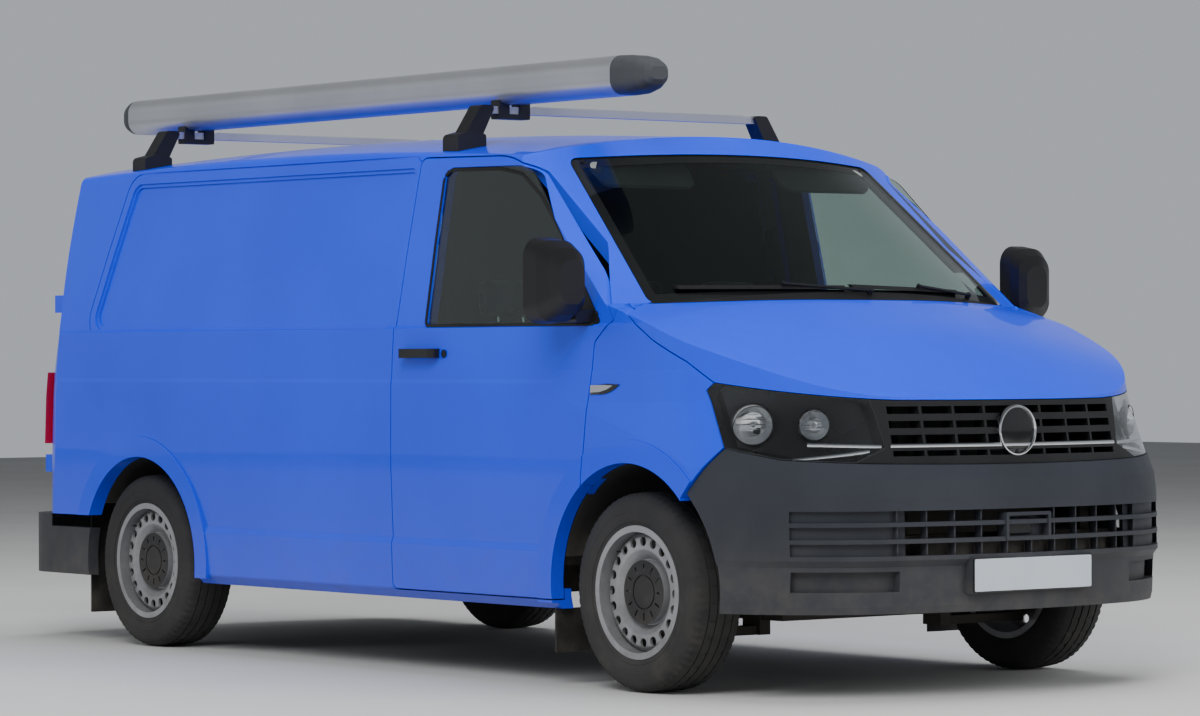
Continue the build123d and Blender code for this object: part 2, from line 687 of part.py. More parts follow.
def front_bumper():
    hull = levels_body(BUMPER_LEVELS, 0) - levels_body(BUMPER_LEVELS, BUMPER_T)
    skin = hull & prism_y(BUMPER_OUTLINE, -1100, 1100, -SEAM / 2)
    skin = skin & section(-3)
    arch = disc_y(FRONT_ARCH[0], FRONT_ARCH[1], BUMPER_ARCH_R, -1200, 1200)
    skin = skin - arch
    skin = skin + (box(2300, PLATE_X - 2, -264, 264, 335, 451) - levels_body(BUMPER_LEVELS, BUMPER_T))
    for z0, z1 in LOWER_ROWS:
        skin = skin - box(2000, 2500, -LOWER_GRILLE_HALF, LOWER_GRILLE_HALF, z0, z1)
    for side in (-1, 1):
        y0, y1 = sorted((side * 505, side * 800))
        skin = skin - box(2000, 2500, y0, y1, 347, 411)
    back = levels_body(BUMPER_LEVELS, BUMPER_T - 16) - levels_body(BUMPER_LEVELS, BUMPER_T)
    back = back & (both(box(1900, 2500, -810, -495, 340, 418)) + both(box(1900, 2500, -820, -480, 455, 606)))
    return skin + back


PLATE_X = 2447
BUMPER_ARCH_R = 432
LOWER_GRILLE_HALF = 810
LOWER_ROWS = [(460, 499), (513, 552), (566, 602)]


def tail_lamps():
    zone = box(-2600, TAIL_LAMP_X, -1100, -REAR_DOOR_Y - SEAM, TAIL_LAMP_Z[0] + 2, TAIL_LAMP_Z[1] - 2)
    back, side = TAIL_LAMP_PROUD
    step = (levels_body(BODY_LEVELS, -back) & section(-side)) & zone & box(-2600, 0, -1100, -TAIL_LAMP_STEP_Y, 0, 2000)
    return both((shell & zone) + (step - outer))


def rear_doors():
    zone = box(-2600, -1900, -REAR_DOOR_Y + SEAM / 2, REAR_DOOR_Y - SEAM / 2, REAR_DOOR_Z[0], REAR_DOOR_Z[1])
    doors = (door_shell & zone) - levels_body(BODY_LEVELS, DOOR_DEPTH)
    recess = None
    for y0, y1 in ((-REAR_DOOR_Y + 70, REAR_DOOR_SPLIT_Y - 60), (REAR_DOOR_SPLIT_Y + 60, REAR_DOOR_Y - 70)):
        for grow_by, depth in PRESS_STEPS:
            corners = [(y0, 1230, 40), (y1, 1230, 40), (y1, 1730, 60), (y0, 1730, 60)]
            cut = prism_x(corners, -2600, -2000, grow_by) - levels_body(BODY_LEVELS, depth)
            recess = cut if recess is None else recess + cut
    x, y, z, turn = PLATE_PANEL
    plate = Pos(x, y, z) * Rot(0, 0, -turn) * Pos(-20, 0, 0) * Box(80, 580, 150)
    doors = doors - recess - plate
    right = doors & box(-2600, -1900, -900, REAR_DOOR_SPLIT_Y - SEAM / 2, 0, 2000)
    left = doors & box(-2600, -1900, REAR_DOOR_SPLIT_Y + SEAM / 2, 900, 0, 2000)
    return right, left


# Middle of the flat panel for the number plate: X, Y, Z and its turn in plan
PLATE_PANEL = (-2339.5, 350, 775, 6.7)
REAR_BUMPER_PLAN = [(-1700, -942, 0), (-2332, -926, 200), (-HALF_LENGTH, -400, 600)]
REAR_BUMPER_PLAN += [(-HALF_LENGTH, 400, 600), (-2332, 926, 200), (-1700, 942, 0)]
REAR_BUMPER_Z = (258, 488)
REAR_BUMPER_LIP_Z = 468


def rear_bumper():
    z0, z1 = REAR_BUMPER_Z
    skin = prism_z(REAR_BUMPER_PLAN, z0, z1) - prism_z(REAR_BUMPER_PLAN, 100, REAR_BUMPER_LIP_Z, -BUMPER_T)
    arch = disc_y(REAR_ARCH[0], REAR_ARCH[1], REAR_ARCH[2], -1200, 1200)
    well = levels_body(BODY_LEVELS, -FIT) & box(-2600, -1000, -1200, 1200, 440, 520)
    return skin - arch - well


def floor():
    inner = cavity & box(-2335, FIREWALL_X, -1000, 1000, 0, 1900)
    pan = inner & box(-2335, BULKHEAD_X[1], -1000, 1000, FLOOR_Z, FLOOR_Z + FLOOR_T)
    cab = inner & box(BULKHEAD_X[0], FIREWALL_X, -1000, 1000, CAB_FLOOR_Z, CAB_FLOOR_Z + FLOOR_T)
    riser = inner & box(BULKHEAD_X[0], BULKHEAD_X[1], -1000, 1000, CAB_FLOOR_Z, FLOOR_Z + FLOOR_T)
    part = pan + cab + riser
    for side in (-1, 1):
        y0, y1 = sorted((side * 420, side * 490))
        part = part + box(RAIL_END_X, BULKHEAD_X[1], y0, y1, FLOOR_Z - 90, FLOOR_Z)
        part = part + box(BULKHEAD_X[0], FIREWALL_X, y0, y1, CAB_FLOOR_Z - 60, CAB_FLOOR_Z)
    part = part - both(rear_arch) - both(front_arch)
    part = part + wheelhouses(REAR_ARCH, FLOOR_Z)
    part = part + (wheelhouses(FRONT_ARCH, CAB_FLOOR_Z) & box(900, FIREWALL_X, -1000, 1000, 0, 1900))
    for side in (-1, 1):
        y0, y1 = sorted((side * 420, side * 490))
        beam = box(-HALF_LENGTH, RAIL_END_X, y0, y1, FLOOR_Z - 90, REAR_BUMPER_LIP_Z - FIT)
        part = part + (beam & prism_z(REAR_BUMPER_PLAN, 300, 500, -BUMPER_T - FIT))
    return part - side_right - side_left - both(rear_pocket)


def seat_bases():
    """Boxes that carry the seats on the cab floor."""
    part = None
    for y0, y1 in SEAT_SPANS:
        plinth = box(SEAT_X + 90, SEAT_X + 520, y0 + 45, y1 - 45, CAB_FLOOR_Z + FLOOR_T, SEAT_Z - 120)
        part = plinth if part is None else part + plinth
    return part


def load_mat():
    """Flat board on the load floor, cut clear of the wheelhouses."""
    z0 = FLOOR_Z + FLOOR_T
    board = box(MAT_X[0], MAT_X[1], -MAT_HALF, MAT_HALF, z0, z0 + MAT_T)
    x, z, r = REAR_ARCH
    for side in (-1, 1):
        y0, y1 = sorted((side * (WHEELHOUSE_IN_Y - 15), side * 1000))
        board = board - disc_y(x, z, r + WHEELHOUSE_T + 10, y0, y1)
    return board & rebate_cavity


def wheelhouses(arch, low_z):
    """Inner arches over both wheels of an axle."""
    x, z, r = arch
    part = disc_y(x, z, r + WHEELHOUSE_T, -1000, -WHEELHOUSE_IN_Y + WHEELHOUSE_T)
    part = part - disc_y(x, z, r, -1100, -WHEELHOUSE_IN_Y)
    return both(part & box(-2600, 2600, -1000, 0, low_z, 1900) & cavity)


def bulkhead():
    return rebate_cavity & box(BULKHEAD_X[0], BULKHEAD_X[1], -1000, 1000, FLOOR_Z + FLOOR_T, 1900)


def front_frame():
    inner = cavity & box(FIREWALL_X, 2340, -1000, 1000, 300, 1300)
    part = inner & box(FIREWALL_X, FIREWALL_X + 20, -760, 760, CAB_FLOOR_Z - 60, FIREWALL_Z)
    part = part - front_arch - mirror(front_arch, about=Plane.XZ)
    part = part + (wheelhouses(FRONT_ARCH, CAB_FLOOR_Z - 60) & box(FIREWALL_X, 2000, -1000, 1000, 300, 1200))
    for side in (-1, 1):
        y0, y1 = sorted((side * 420, side * 490))
        part = part + box(FIREWALL_X, 2310, y0, y1, *FRAME_Z)
        part = part + box(1500, 1600, *sorted((side * 480, side * 510)), 440, 500)
    part = part + box(2250, 2304, -540, 540, *FRAME_Z)
    part = part + (box(2300, 2500, -400, 400, 440, 500) & levels_body(BUMPER_LEVELS, BUMPER_T + BEAM_FIT))
    part = part + (box(2240, 2500, -420, 420, 845, 860) & levels_body(BODY_LEVELS, WALL + BEAM_FIT))
    for y in (-400, 400):
        part = part + (box(2240, 2270, y - 20, y + 20, 500, 860) & levels_body(BODY_LEVELS, WALL + BEAM_FIT))
    return part


def engine():
    return box(1720, 2140, -330, 330, 330, 930)


def dashboard():
    side = [(FIREWALL_X, 760, 0), (FIREWALL_X, FIREWALL_Z, 0), (1540, 1235, 0), (1250, 1222, 60), (1120, 1130, 60), (1150, 900, 60), (1260, 760, 40)]
    return prism_y(side, -1000, 1000) & rebate_cavity & box(0, 2000, -800, 800, 0, 2000)


def cowl():
    strip = shell & prism_y(BONNET_OUTLINE, -822, 822, -SEAM / 2) & box(1400, 1700, -900, 900, 1200, 1340)
    return strip - ahead_of_screen(0) - screen_zone


def steering_wheel():
    centre = (985, -470, 1130)
    axis = Vector(-cos(radians(35)), 0, sin(radians(35)))
    plane = Plane(origin=Vector(*centre), z_dir=axis)
    rim = plane * Torus(180, 15)
    part = rim + plane * Cylinder(48, 40)
    for a in (0, 120, 240):
        spoke = Pos(100, 0, 0) * Box(150, 30, 12)
        part = part + plane * Rot(0, 0, a + 90) * spoke
    back = Vector(*centre) - axis * 190
    return part + rod(Vector(*centre), back, 32)


def rounded_wire(plane, u0, u1, v0, v1, r):
    """Rounded rectangle in a plane."""
    return outline([(u0, v0, r), (u1, v0, r), (u1, v1, r), (u0, v1, r)], plane).outer_wire()


def tapered_x(sections):
    """Solid along X through rounded rectangles: X, low Y, high Y, low Z, high Z, corner radius."""
    wires = [rounded_wire(Plane.YZ.offset(x), y0, y1, z0, z1, r) for x, y0, y1, z0, z1, r in sections]
    return Part() + Solid.make_loft(wires, ruled=True)


def mirror_right():
    head = tapered_x([
        (1240, -MIRROR_Y + 14, -990, 1212, 1468, 50),
        (1256, -MIRROR_Y, -976, 1200, 1482, 62),
        (1318, -MIRROR_Y + 6, -966, 1206, 1472, 62),
        (1358, -MIRROR_Y + 28, -972, 1228, 1446, 56),
        (1382, -MIRROR_Y + 62, -990, 1262, 1408, 40),
    ])
    arm = tapered_x([(1262, -1000, -900, 1204, 1250, 12), (1345, -1000, -900, 1204, 1246, 12)])
    sail = (section(-2) - section(GLASS_SET_IN + GLASS_T + 12)) & window_zone & box(SAIL_X, 1500, -1200, 0, 1000, 1900)
    sail = sail & prism_y(DOOR_WINDOW, -1200, -500, -FIT)
    return (head + arm - outer) + sail


def door_handle():
    """Grip on the right-hand front door."""
    x0, x1 = HANDLE_X
    y = -SKIN_Y
    grip = prism_z([(x0, y + 10, 0), (x0, y - 34, 22), (x1, y - 34, 22), (x1, y + 10, 0)], *HANDLE_Z)
    grip = grip - prism_z([(x0 + 34, y + 20, 0), (x0 + 34, y - 22, 14), (x1 - 34, y - 22, 14), (x1 - 34, y + 20, 0)], 1000, 1200)
    return grip - outer


HANDLE_X = (300, 505)
HANDLE_Z = (1090, 1122)


def sliding_handle():
    """Grip near the sliding door's front edge."""
    move = SLIDE_X[1] - 60 - HANDLE_X[1]
    return mirror(Pos(move, 0, 0) * door_handle(), about=Plane.XZ)


def rear_handle():
    """Grip on the left-hand rear door."""
    plate = box(-2376, -2320, -30, 130, 960, 1000) - outer
    return plate - box(-2500, -2360, -6, 106, 950, 985)


def roof_bars():
    part = None
    for x in BAR_X:
        bar = box(x - 20, x + 20, -BAR_HALF, BAR_HALF, BAR_Z[0], BAR_Z[1])
        bar = bar + box(x - 15, x + 15, STRIP_Y[0], STRIP_Y[1], BAR_Z[1], BAR_Z[1] + STRIP_T)
        part = bar if part is None else part + bar
    return part


def bar_feet():
    """Feet that lean from the roof's edge to the bars, and the clamps that hold the tube."""
    part = None
    for x in BAR_X:
        pad = prism_x([(-762, 1700, 0), (-640, 1700, 0), (-640, 1872, 10), (-700, 1884, 20), (-762, 1868, 20)], x - 46, x + 46)
        leg = prism_x([(-742, 1840, 0), (-662, 1840, 0), (-590, BAR_Z[1] + 3, 12), (-652, BAR_Z[1] + 3, 18)], x - 34, x + 34)
        foot = (pad + leg) - outer - roof_bars()
        pair = both(foot)
        for y in (TUBE_Y - 45, TUBE_Y + 45):
            pair = pair + box(x - 26, x + 26, y - 22, y + 22, BAR_Z[0] - 12, TUBE_Z - 40)
        pair = pair + box(x - 26, x + 26, TUBE_Y - 66, TUBE_Y + 66, BAR_Z[0] - 18, BAR_Z[0])
        part = pair if part is None else part + pair
    return part - roof_bars() - tube_section(*TUBE_X)


def tube_section(x0, x1, d=0):
    w, h = TUBE_SIZE
    points = [(TUBE_Y - w / 2, TUBE_Z - h / 2, TUBE_R), (TUBE_Y + w / 2, TUBE_Z - h / 2, TUBE_R)]
    points += [(TUBE_Y + w / 2, TUBE_Z + h / 2, TUBE_R), (TUBE_Y - w / 2, TUBE_Z + h / 2, TUBE_R)]
    return prism_x(points, x0, x1, d)


def pipe_tube():
    return tube_section(*TUBE_X) - tube_section(TUBE_X[0] - 1, TUBE_X[1] + 1, -TUBE_WALL)


def tube_cap(stations):
    """Tapered end of the tube: X, width, height and corner radius of each section."""
    rows = []
    for x, w, h, r in stations:
        rows.append((x, TUBE_Y - w / 2, TUBE_Y + w / 2, TUBE_Z - h / 2, TUBE_Z + h / 2, r))
    return tapered_x(rows)


def tube_front_cap():
    w, h = TUBE_SIZE
    x0, x1 = TUBE_X[1], TUBE_TIP_X[1]
    return tube_cap([(x0, w, h, TUBE_R), (x0 + 60, w - 4, h - 5, 50), (x1 - 52, 138, 110, 46), (x1 - 16, 104, 78, 34), (x1, 68, 44, 19)])


def tube_rear_cap():
    w, h = TUBE_SIZE
    x0, x1 = TUBE_X[0] - FIT, TUBE_TIP_X[0]
    return tube_cap([(x0, w, h, TUBE_R), (x0 - 26, w - 6, h - 6, 50), (x1 + 24, 140, 112, 46), (x1 + 8, 108, 82, 34), (x1, 72, 48, 20)])


def exhaust():
    part = rod((1719.4, 250, 338), (1250, 250, 334), 28) + rod((1250, 250, 334), (900, 250, 290), 28)
    part = part + rod((900, 250, 290), (-1700, 180, 295), 28)
    part = part + rod((-1690, 180, 295), (-2150, 180, 295), 85) + rod((-2140, 180, 295), (-2290, 380, 240), 27)
    # Hangers: X, Y, lower Z, upper Z
    for x, y, z0, z1 in ((600, 242, 290, CAB_FLOOR_Z - FIT), (-900, 202, 300, FLOOR_Z - FIT), (-1900, 180, 330, FLOOR_Z - FIT)):
        part = part + box(x - 10, x + 10, y - 12, y + 12, z0, z1)
    return part


def fuel_tank():
    return box(-700, 100, -400, 60, 240, 440) + box(-650, -600, -430, -400, 400, 445)


def rear_axle():
    part = box(-1240, -1140, -560, 560, 330, 400)
    for side in (-1, 1):
        y0, y1 = sorted((side * 600, side * 660))
        part = part + box(REAR_AXLE_X - 40, -1140, y0 - 0, y1, 300, 370)
        part = part + box(-1240, -1140, min(side * 500, side * 660), max(side * 500, side * 660), 330, 370)
        part = part + disc_y(REAR_AXLE_X, AXLE_Z, 45, *sorted((side * 600, side * (WHEEL_Y + DISC_Y - 18 - FIT))))
        part = part + rod((REAR_AXLE_X + 100, side * 470, 340), (REAR_AXLE_X + 100, side * 470, 445), 50)
        part = part + box(REAR_AXLE_X + 60, REAR_AXLE_X + 140, *sorted((side * 430, side * 610)), 300, 345)
    return part


def front_subframe():
    part = box(1430, 1700, -420, 420, 220, 290)
    for side in (-1, 1):
        y0, y1 = sorted((side * 420, side * (KINGPIN_Y + 18)))
        part = part + box(FRONT_AXLE_X - 30, FRONT_AXLE_X + 30, y0, y1, *ARM_Z)
        part = part + box(1500, 1590, *sorted((side * 380, side * 425)), ARM_Z[0], 250)
        part = part + box(1450, 1490, *sorted((side * 380, side * 450)), 250, FRAME_Z[0])
    return part


def mudflaps():
    part = box(-1905, -1897, -885, -740, 110, FLOOR_Z - FIT) + box(1122, 1130, -920, -740, 110, SILL_Z)
    return both(part)


def on_screen(y, z, out=0):
    """Point on the windscreen's surface, or out from it along the slope's normal."""
    run, rise = SCREEN_SLOPE
    drop = SCREEN_R - (SCREEN_R ** 2 - y ** 2) ** 0.5
    slope = hypot(run, rise)
    x = SCREEN_FOOT[0] - drop - (z - SCREEN_FOOT[1]) * run / rise
    return (x + out * rise / slope, y, z + out * run / slope)


def wipers():
    """Two wipers: pivot and arm stand off the screen, the blade follows its curve and rests on it."""
    low = GLASS_SET_IN - FIT
    layer = ahead_of_screen(low) - ahead_of_screen(low - WIPER_T)
    part = None
    for pivot, mid, start, tip in WIPER_ROWS:
        arm = rod(on_screen(*pivot, -1.6), on_screen(*pivot, 20), 9)
        arm = arm + rod(on_screen(*pivot, 15), on_screen(*mid, 15), 5)
        arm = arm + rod(on_screen(*mid, 1), on_screen(*mid, 20), 7)
        half = WIPER_W / 2
        blade = [(tip[0], tip[1] - half, 0), (start[0], start[1] - half, 0)]
        blade += [(start[0], start[1] + half, 0), (tip[0], tip[1] + half, 0)]
        arm = arm + (layer & prism_x(blade, 500, 2000))
        part = arm if part is None else part + arm
    return part - (shell - screen_zone)


# Wipers: pivot, middle of the blade, its start and its tip, each as Y, Z
WIPER_ROWS = [
    ((560, 1290), (300, 1318), (520, 1312), (-15, 1326)),
    ((40, 1300), (-300, 1322), (-50, 1322), (-670, 1320)),
]
WIPER_W = 13
WIPER_T = 12


right_door, left_door = rear_doors()
PIECES = {
    "floor": floor(),
    "roof": roof,
    "side_right": side_right,
    "side_left": side_left,
    "sliding_door": sliding_door,
    "front_frame": front_frame(),
    "wings": both(wing_right),
    "front_bumper": front_bumper(),
    "grille": grille(),
    "headlamps": headlamps(),
    "tail_lamps": tail_lamps(),
    "windscreen": windscreen,
    "rear_bumper": rear_bumper(),
    "load_mat": load_mat(),
    "bulkhead": bulkhead(),
    "dashboard": dashboard(),
    "seats": seat(*SEAT_SPANS[0]) + seat(*SEAT_SPANS[1]),
    "seat_bases": seat_bases(),
    "steering_wheel": steering_wheel() - dashboard(),
    "cowl": cowl(),
    "wipers": wipers(),
    "mudflaps": mudflaps(),
    "front_subframe": front_subframe(),
    "rear_axle": rear_axle(),
    "engine": engine(),
    "exhaust": exhaust(),
    "fuel_tank": fuel_tank(),
    "roof_bars": roof_bars(),
    "bar_feet": bar_feet(),
    "pipe_tube": pipe_tube(),
    "tube_front_cap": tube_front_cap(),
    "tube_rear_cap": tube_rear_cap(),
    "bonnet": bonnet(),
    "door_right": door_right,
    "door_glass_right": door_glass,
    "mirror_and_handle_right": mirror_right() + door_handle(),
    "door_left": mirror(door_right, about=Plane.XZ),
    "door_glass_left": mirror(door_glass, about=Plane.XZ),
    "mirror_and_handle_left": mirror(mirror_right() + door_handle(), about=Plane.XZ),
    "sliding_door_handle": sliding_handle(),
    "rear_door_handle": rear_handle(),
    "rear_door_right": right_door,
    "rear_door_left": left_door,
    "knuckle_right": knuckle(-1),
    "knuckle_left": knuckle(1),
}
# Wheels: name, axle X, side
for name, x, side in (
    ("front_right", FRONT_AXLE_X, -1),
    ("front_left", FRONT_AXLE_X, 1),
    ("rear_right", REAR_AXLE_X, -1),
    ("rear_left", REAR_AXLE_X, 1),
):
    PIECES["tyre_" + name] = tyre(x, side * WHEEL_Y)
    PIECES["wheel_" + name] = wheel(x, side)

for name, part in PIECES.items():
    export_step(part, f"parts/{name}.step")
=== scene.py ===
import math
import bmesh
import bpy
from mathutils import Matrix, Vector
from mathutils.bvhtree import BVHTree


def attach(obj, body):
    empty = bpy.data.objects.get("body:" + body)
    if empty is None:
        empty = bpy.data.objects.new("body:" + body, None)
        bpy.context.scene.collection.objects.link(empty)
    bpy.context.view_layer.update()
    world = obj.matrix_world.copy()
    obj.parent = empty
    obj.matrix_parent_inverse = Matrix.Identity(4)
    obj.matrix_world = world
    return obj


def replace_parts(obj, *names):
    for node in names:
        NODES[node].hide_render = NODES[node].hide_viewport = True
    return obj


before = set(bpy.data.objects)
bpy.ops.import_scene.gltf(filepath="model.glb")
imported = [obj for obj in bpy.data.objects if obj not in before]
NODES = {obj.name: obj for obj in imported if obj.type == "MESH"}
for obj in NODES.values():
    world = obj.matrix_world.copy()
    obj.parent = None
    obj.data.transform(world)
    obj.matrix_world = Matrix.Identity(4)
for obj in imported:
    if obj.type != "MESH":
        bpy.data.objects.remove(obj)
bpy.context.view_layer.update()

# Sizes in metres, as in the part's source
AXLES = (("front_right", 1.544, -1), ("front_left", 1.544, 1), ("rear_right", -1.456, -1), ("rear_left",
    -1.456, 1))
WHEEL_Y = 0.814
TYRE_R = 0.326
SIDES = ((-1, "right"), (1, "left"))


# Materials
def mix_colour(nt, factor, a, b):
    node = nt.nodes.new("ShaderNodeMix")
    node.data_type = "RGBA"
    if isinstance(factor, float):
        node.inputs[0].default_value = factor
    else:
        nt.links.new(factor, node.inputs[0])
    for socket, value in ((node.inputs[6], a), (node.inputs[7], b)):
        if isinstance(value, tuple):
            socket.default_value = (*value, 1)
        else:
            nt.links.new(value, socket)
    return node.outputs[2]


def maths(nt, kind, a, b=None, clamp=False):
    node = nt.nodes.new("ShaderNodeMath")
    node.operation = kind
    node.use_clamp = clamp
    for socket, value in zip(node.inputs, (a, b)):
        if value is None:
            continue
        if isinstance(value, (int, float)):
            socket.default_value = value
        else:
            nt.links.new(value, socket)
    return node.outputs[0]


def spread(nt, value, lo, hi, out_lo, out_hi):
    node = nt.nodes.new("ShaderNodeMapRange")
    node.interpolation_type = "SMOOTHSTEP"
    nt.links.new(value, node.inputs[0])
    for i, v in enumerate((lo, hi, out_lo, out_hi)):
        node.inputs[i + 1].default_value = v
    return node.outputs[0]


def noise(nt, where, scale, detail=4, rough=0.55):
    node = nt.nodes.new("ShaderNodeTexNoise")
    nt.links.new(where, node.inputs["Vector"])
    node.inputs["Scale"].default_value = scale
    node.inputs["Detail"].default_value = detail
    node.inputs["Roughness"].default_value = rough
    return node.outputs["Fac"]


def finish_of(name, light, dark, rough, metallic=0.0, coat=0.0, scale=3.0, bump=0.05, bump_scale=250,
              dirt=0.0, dirt_top=0.7, dirt_colour=(0.16, 0.14, 0.115), sheen=0.0, weave=None,
              transmission=0.0, ior=1.45):
    """Procedural finish: colour drifting between two tones, fine relief, and road dirt that fades upwards."""
    m = bpy.data.materials.new(name)
    m.use_nodes = True
    nt = m.node_tree
    nt.nodes.clear()
    out = nt.nodes.new("ShaderNodeOutputMaterial")
    b = nt.nodes.new("ShaderNodeBsdfPrincipled")
    nt.links.new(b.outputs[0], out.inputs[0])
    where = nt.nodes.new("ShaderNodeTexCoord").outputs["Object"]
    drift = noise(nt, where, scale)
    colour = mix_colour(nt, spread(nt, drift, 0.3, 0.7, 0.0, 1.0), light, dark)
    roughness = spread(nt, drift, 0.25, 0.75, rough[0], rough[1])
    grain = noise(nt, where, bump_scale, 3, 0.6)
    if weave:
        wave_a = nt.nodes.new("ShaderNodeTexWave")
        wave_a.bands_direction = "Y"
        wave_b = nt.nodes.new("ShaderNodeTexWave")
        wave_b.bands_direction = "Z"
        for w in (wave_a, wave_b):
            nt.links.new(where, w.inputs["Vector"])
            w.inputs["Scale"].default_value = weave
            w.inputs["Distortion"].default_value = 0.4
        threads = maths(nt, "MULTIPLY", wave_a.outputs["Fac"], wave_b.outputs["Fac"])
        colour = mix_colour(nt, threads, colour, tuple(min(1, c * 1.9 + 0.01) for c in light))
        grain = maths(nt, "ADD", grain, threads)
    if dirt:
        xyz = nt.nodes.new("ShaderNodeSeparateXYZ")
        nt.links.new(where, xyz.inputs[0])
        fade = spread(nt, xyz.outputs[2], 0.1, dirt_top, dirt, 0.0)
        mask = maths(nt, "MULTIPLY", fade, spread(nt, noise(nt, where, 9, 8, 0.7), 0.3, 0.72, 0.15, 1.0),
            True)
        colour = mix_colour(nt, mask, colour, dirt_colour)
        roughness = maths(nt, "ADD", roughness, maths(nt, "MULTIPLY", mask, 0.5), True)
    nt.links.new(colour, b.inputs["Base Color"])
    nt.links.new(roughness, b.inputs["Roughness"])
    relief = nt.nodes.new("ShaderNodeBump")
    relief.inputs["Strength"].default_value = bump
    relief.inputs["Distance"].default_value = 0.001
    nt.links.new(grain, relief.inputs["Height"])
    nt.links.new(relief.outputs[0], b.inputs["Normal"])
    b.inputs["Metallic"].default_value = metallic
    b.inputs["Coat Weight"].default_value = coat
    b.inputs["Coat Roughness"].default_value = 0.03
    b.inputs["Sheen Weight"].default_value = sheen
    b.inputs["Transmission Weight"].default_value = transmission
    b.inputs["IOR"].default_value = ior
    return m


PAINT = finish_of("Paint", (0.0, 0.044, 0.78), (0.0, 0.038, 0.70), (0.34, 0.40), coat=0.45, scale=1.2,
    bump=0.012, bump_scale=60, dirt=0.16, dirt_top=0.75)
INNER = finish_of("InnerPaint", (0.006, 0.10, 0.48), (0.005, 0.085, 0.42), (0.4, 0.5), coat=0.3, dirt=0.9,
    dirt_top=0.6)
TRIM = finish_of("PillarTrim", (0.20, 0.215, 0.205), (0.17, 0.185, 0.178), (0.7, 0.8), bump=0.2,
    bump_scale=500)
LINER = finish_of("WallLining", (0.30, 0.24, 0.16), (0.23, 0.18, 0.12), (0.65, 0.8), scale=5, bump=0.25,
    bump_scale=120)
BUMPER = finish_of("BumperPlastic", (0.026, 0.029, 0.037), (0.021, 0.024, 0.031), (0.5, 0.62), bump=0.25,
    bump_scale=900, dirt=0.4, dirt_top=0.65)
BLACK = finish_of("BlackPlastic", (0.012, 0.012, 0.013), (0.009, 0.009, 0.010), (0.38, 0.5), bump=0.2,
    bump_scale=900, dirt=0.4, dirt_top=0.5)
GLOSS = finish_of("GlossBlack", (0.006, 0.006, 0.007), (0.005, 0.005, 0.006), (0.08, 0.14), coat=0.6,
    bump=0.01)
RUBBER = finish_of("SealRubber", (0.014, 0.014, 0.014), (0.010, 0.010, 0.010), (0.65, 0.8), bump=0.2,
    bump_scale=700, dirt=0.3, dirt_top=0.5)
TYRE = finish_of("TyreRubber", (0.026, 0.026, 0.027), (0.020, 0.020, 0.021), (0.72, 0.86), bump=0.25,
    bump_scale=700, dirt=0.5, dirt_top=0.75, dirt_colour=(0.075, 0.070, 0.063))
WHEEL = finish_of("WheelSilver", (0.36, 0.365, 0.38), (0.31, 0.315, 0.33), (0.33, 0.42), metallic=0.55,
    coat=0.3, bump=0.05, dirt=0.5, dirt_top=0.75, dirt_colour=(0.13, 0.115, 0.10))
CHROME = finish_of("Chrome", (0.80, 0.81, 0.82), (0.74, 0.75, 0.77), (0.05, 0.1), metallic=1.0, bump=0.01)
ALU = finish_of("AnodisedAluminium", (0.56, 0.57, 0.59), (0.50, 0.51, 0.53), (0.34, 0.42), metallic=0.8,
    scale=2, bump=0.05, bump_scale=400)
CAPS = finish_of("CapPlastic", (0.05, 0.053, 0.058), (0.04, 0.043, 0.048), (0.5, 0.6), bump=0.25,
    bump_scale=800)
METAL = finish_of("CastMetal", (0.07, 0.068, 0.065), (0.045, 0.044, 0.043), (0.6, 0.75), metallic=0.6,
    bump=0.4, bump_scale=160, dirt=0.8, dirt_top=0.9)
STEEL = finish_of("ExhaustSteel", (0.24, 0.21, 0.18), (0.15, 0.125, 0.10), (0.5, 0.65), metallic=0.8,
    bump=0.3, bump_scale=120, dirt=0.7, dirt_top=0.7)
UNDERSEAL = finish_of("Underseal", (0.018, 0.018, 0.018), (0.012, 0.012, 0.012), (0.8, 0.9), bump=0.5,
    bump_scale=200, dirt=0.8, dirt_top=0.8)
CAB = finish_of("CabPlastic", (0.020, 0.022, 0.023), (0.016, 0.018, 0.019), (0.6, 0.7), bump=0.35,
    bump_scale=700)
CLOTH = finish_of("SeatCloth", (0.012, 0.015, 0.030), (0.008, 0.010, 0.022), (0.85, 0.95), bump=0.4,
    bump_scale=900, sheen=0.4, weave=260)
BOARD = finish_of("FloorBoard", (0.16, 0.12, 0.08), (0.11, 0.085, 0.06), (0.6, 0.75), scale=6, bump=0.3,
    bump_scale=90)
PLATE = finish_of("PlateFace", (0.48, 0.53, 0.58), (0.44, 0.49, 0.54), (0.3, 0.4), coat=0.5, bump=0.02,
    dirt=0.1)
REAR_PLATE = finish_of("RearPlateFace", (0.75, 0.55, 0.08), (0.70, 0.50, 0.07), (0.3, 0.4), coat=0.5,
    bump=0.02)
RED = finish_of("RedLens", (0.42, 0.006, 0.010), (0.34, 0.004, 0.008), (0.08, 0.14), coat=0.8, bump=0.05,
    bump_scale=300)
CLEAR = finish_of("ClearLens", (0.96, 0.97, 0.98), (0.92, 0.94, 0.95), (0.01, 0.03), bump=0.01,
    transmission=1.0, ior=1.46)
BEZEL = finish_of("LampBezel", (0.055, 0.058, 0.062), (0.040, 0.042, 0.046), (0.25, 0.35), metallic=0.3,
    bump=0.03)
BULB = finish_of("BulbGlass", (0.86, 0.88, 0.90), (0.80, 0.83, 0.86), (0.05, 0.1), bump=0.02,
    transmission=0.6)
GLASS = finish_of("TintedGlass", (0.62, 0.74, 0.69), (0.60, 0.72, 0.67), (0.0, 0.015), bump=0.003,
    bump_scale=20, transmission=1.0, ior=1.5)
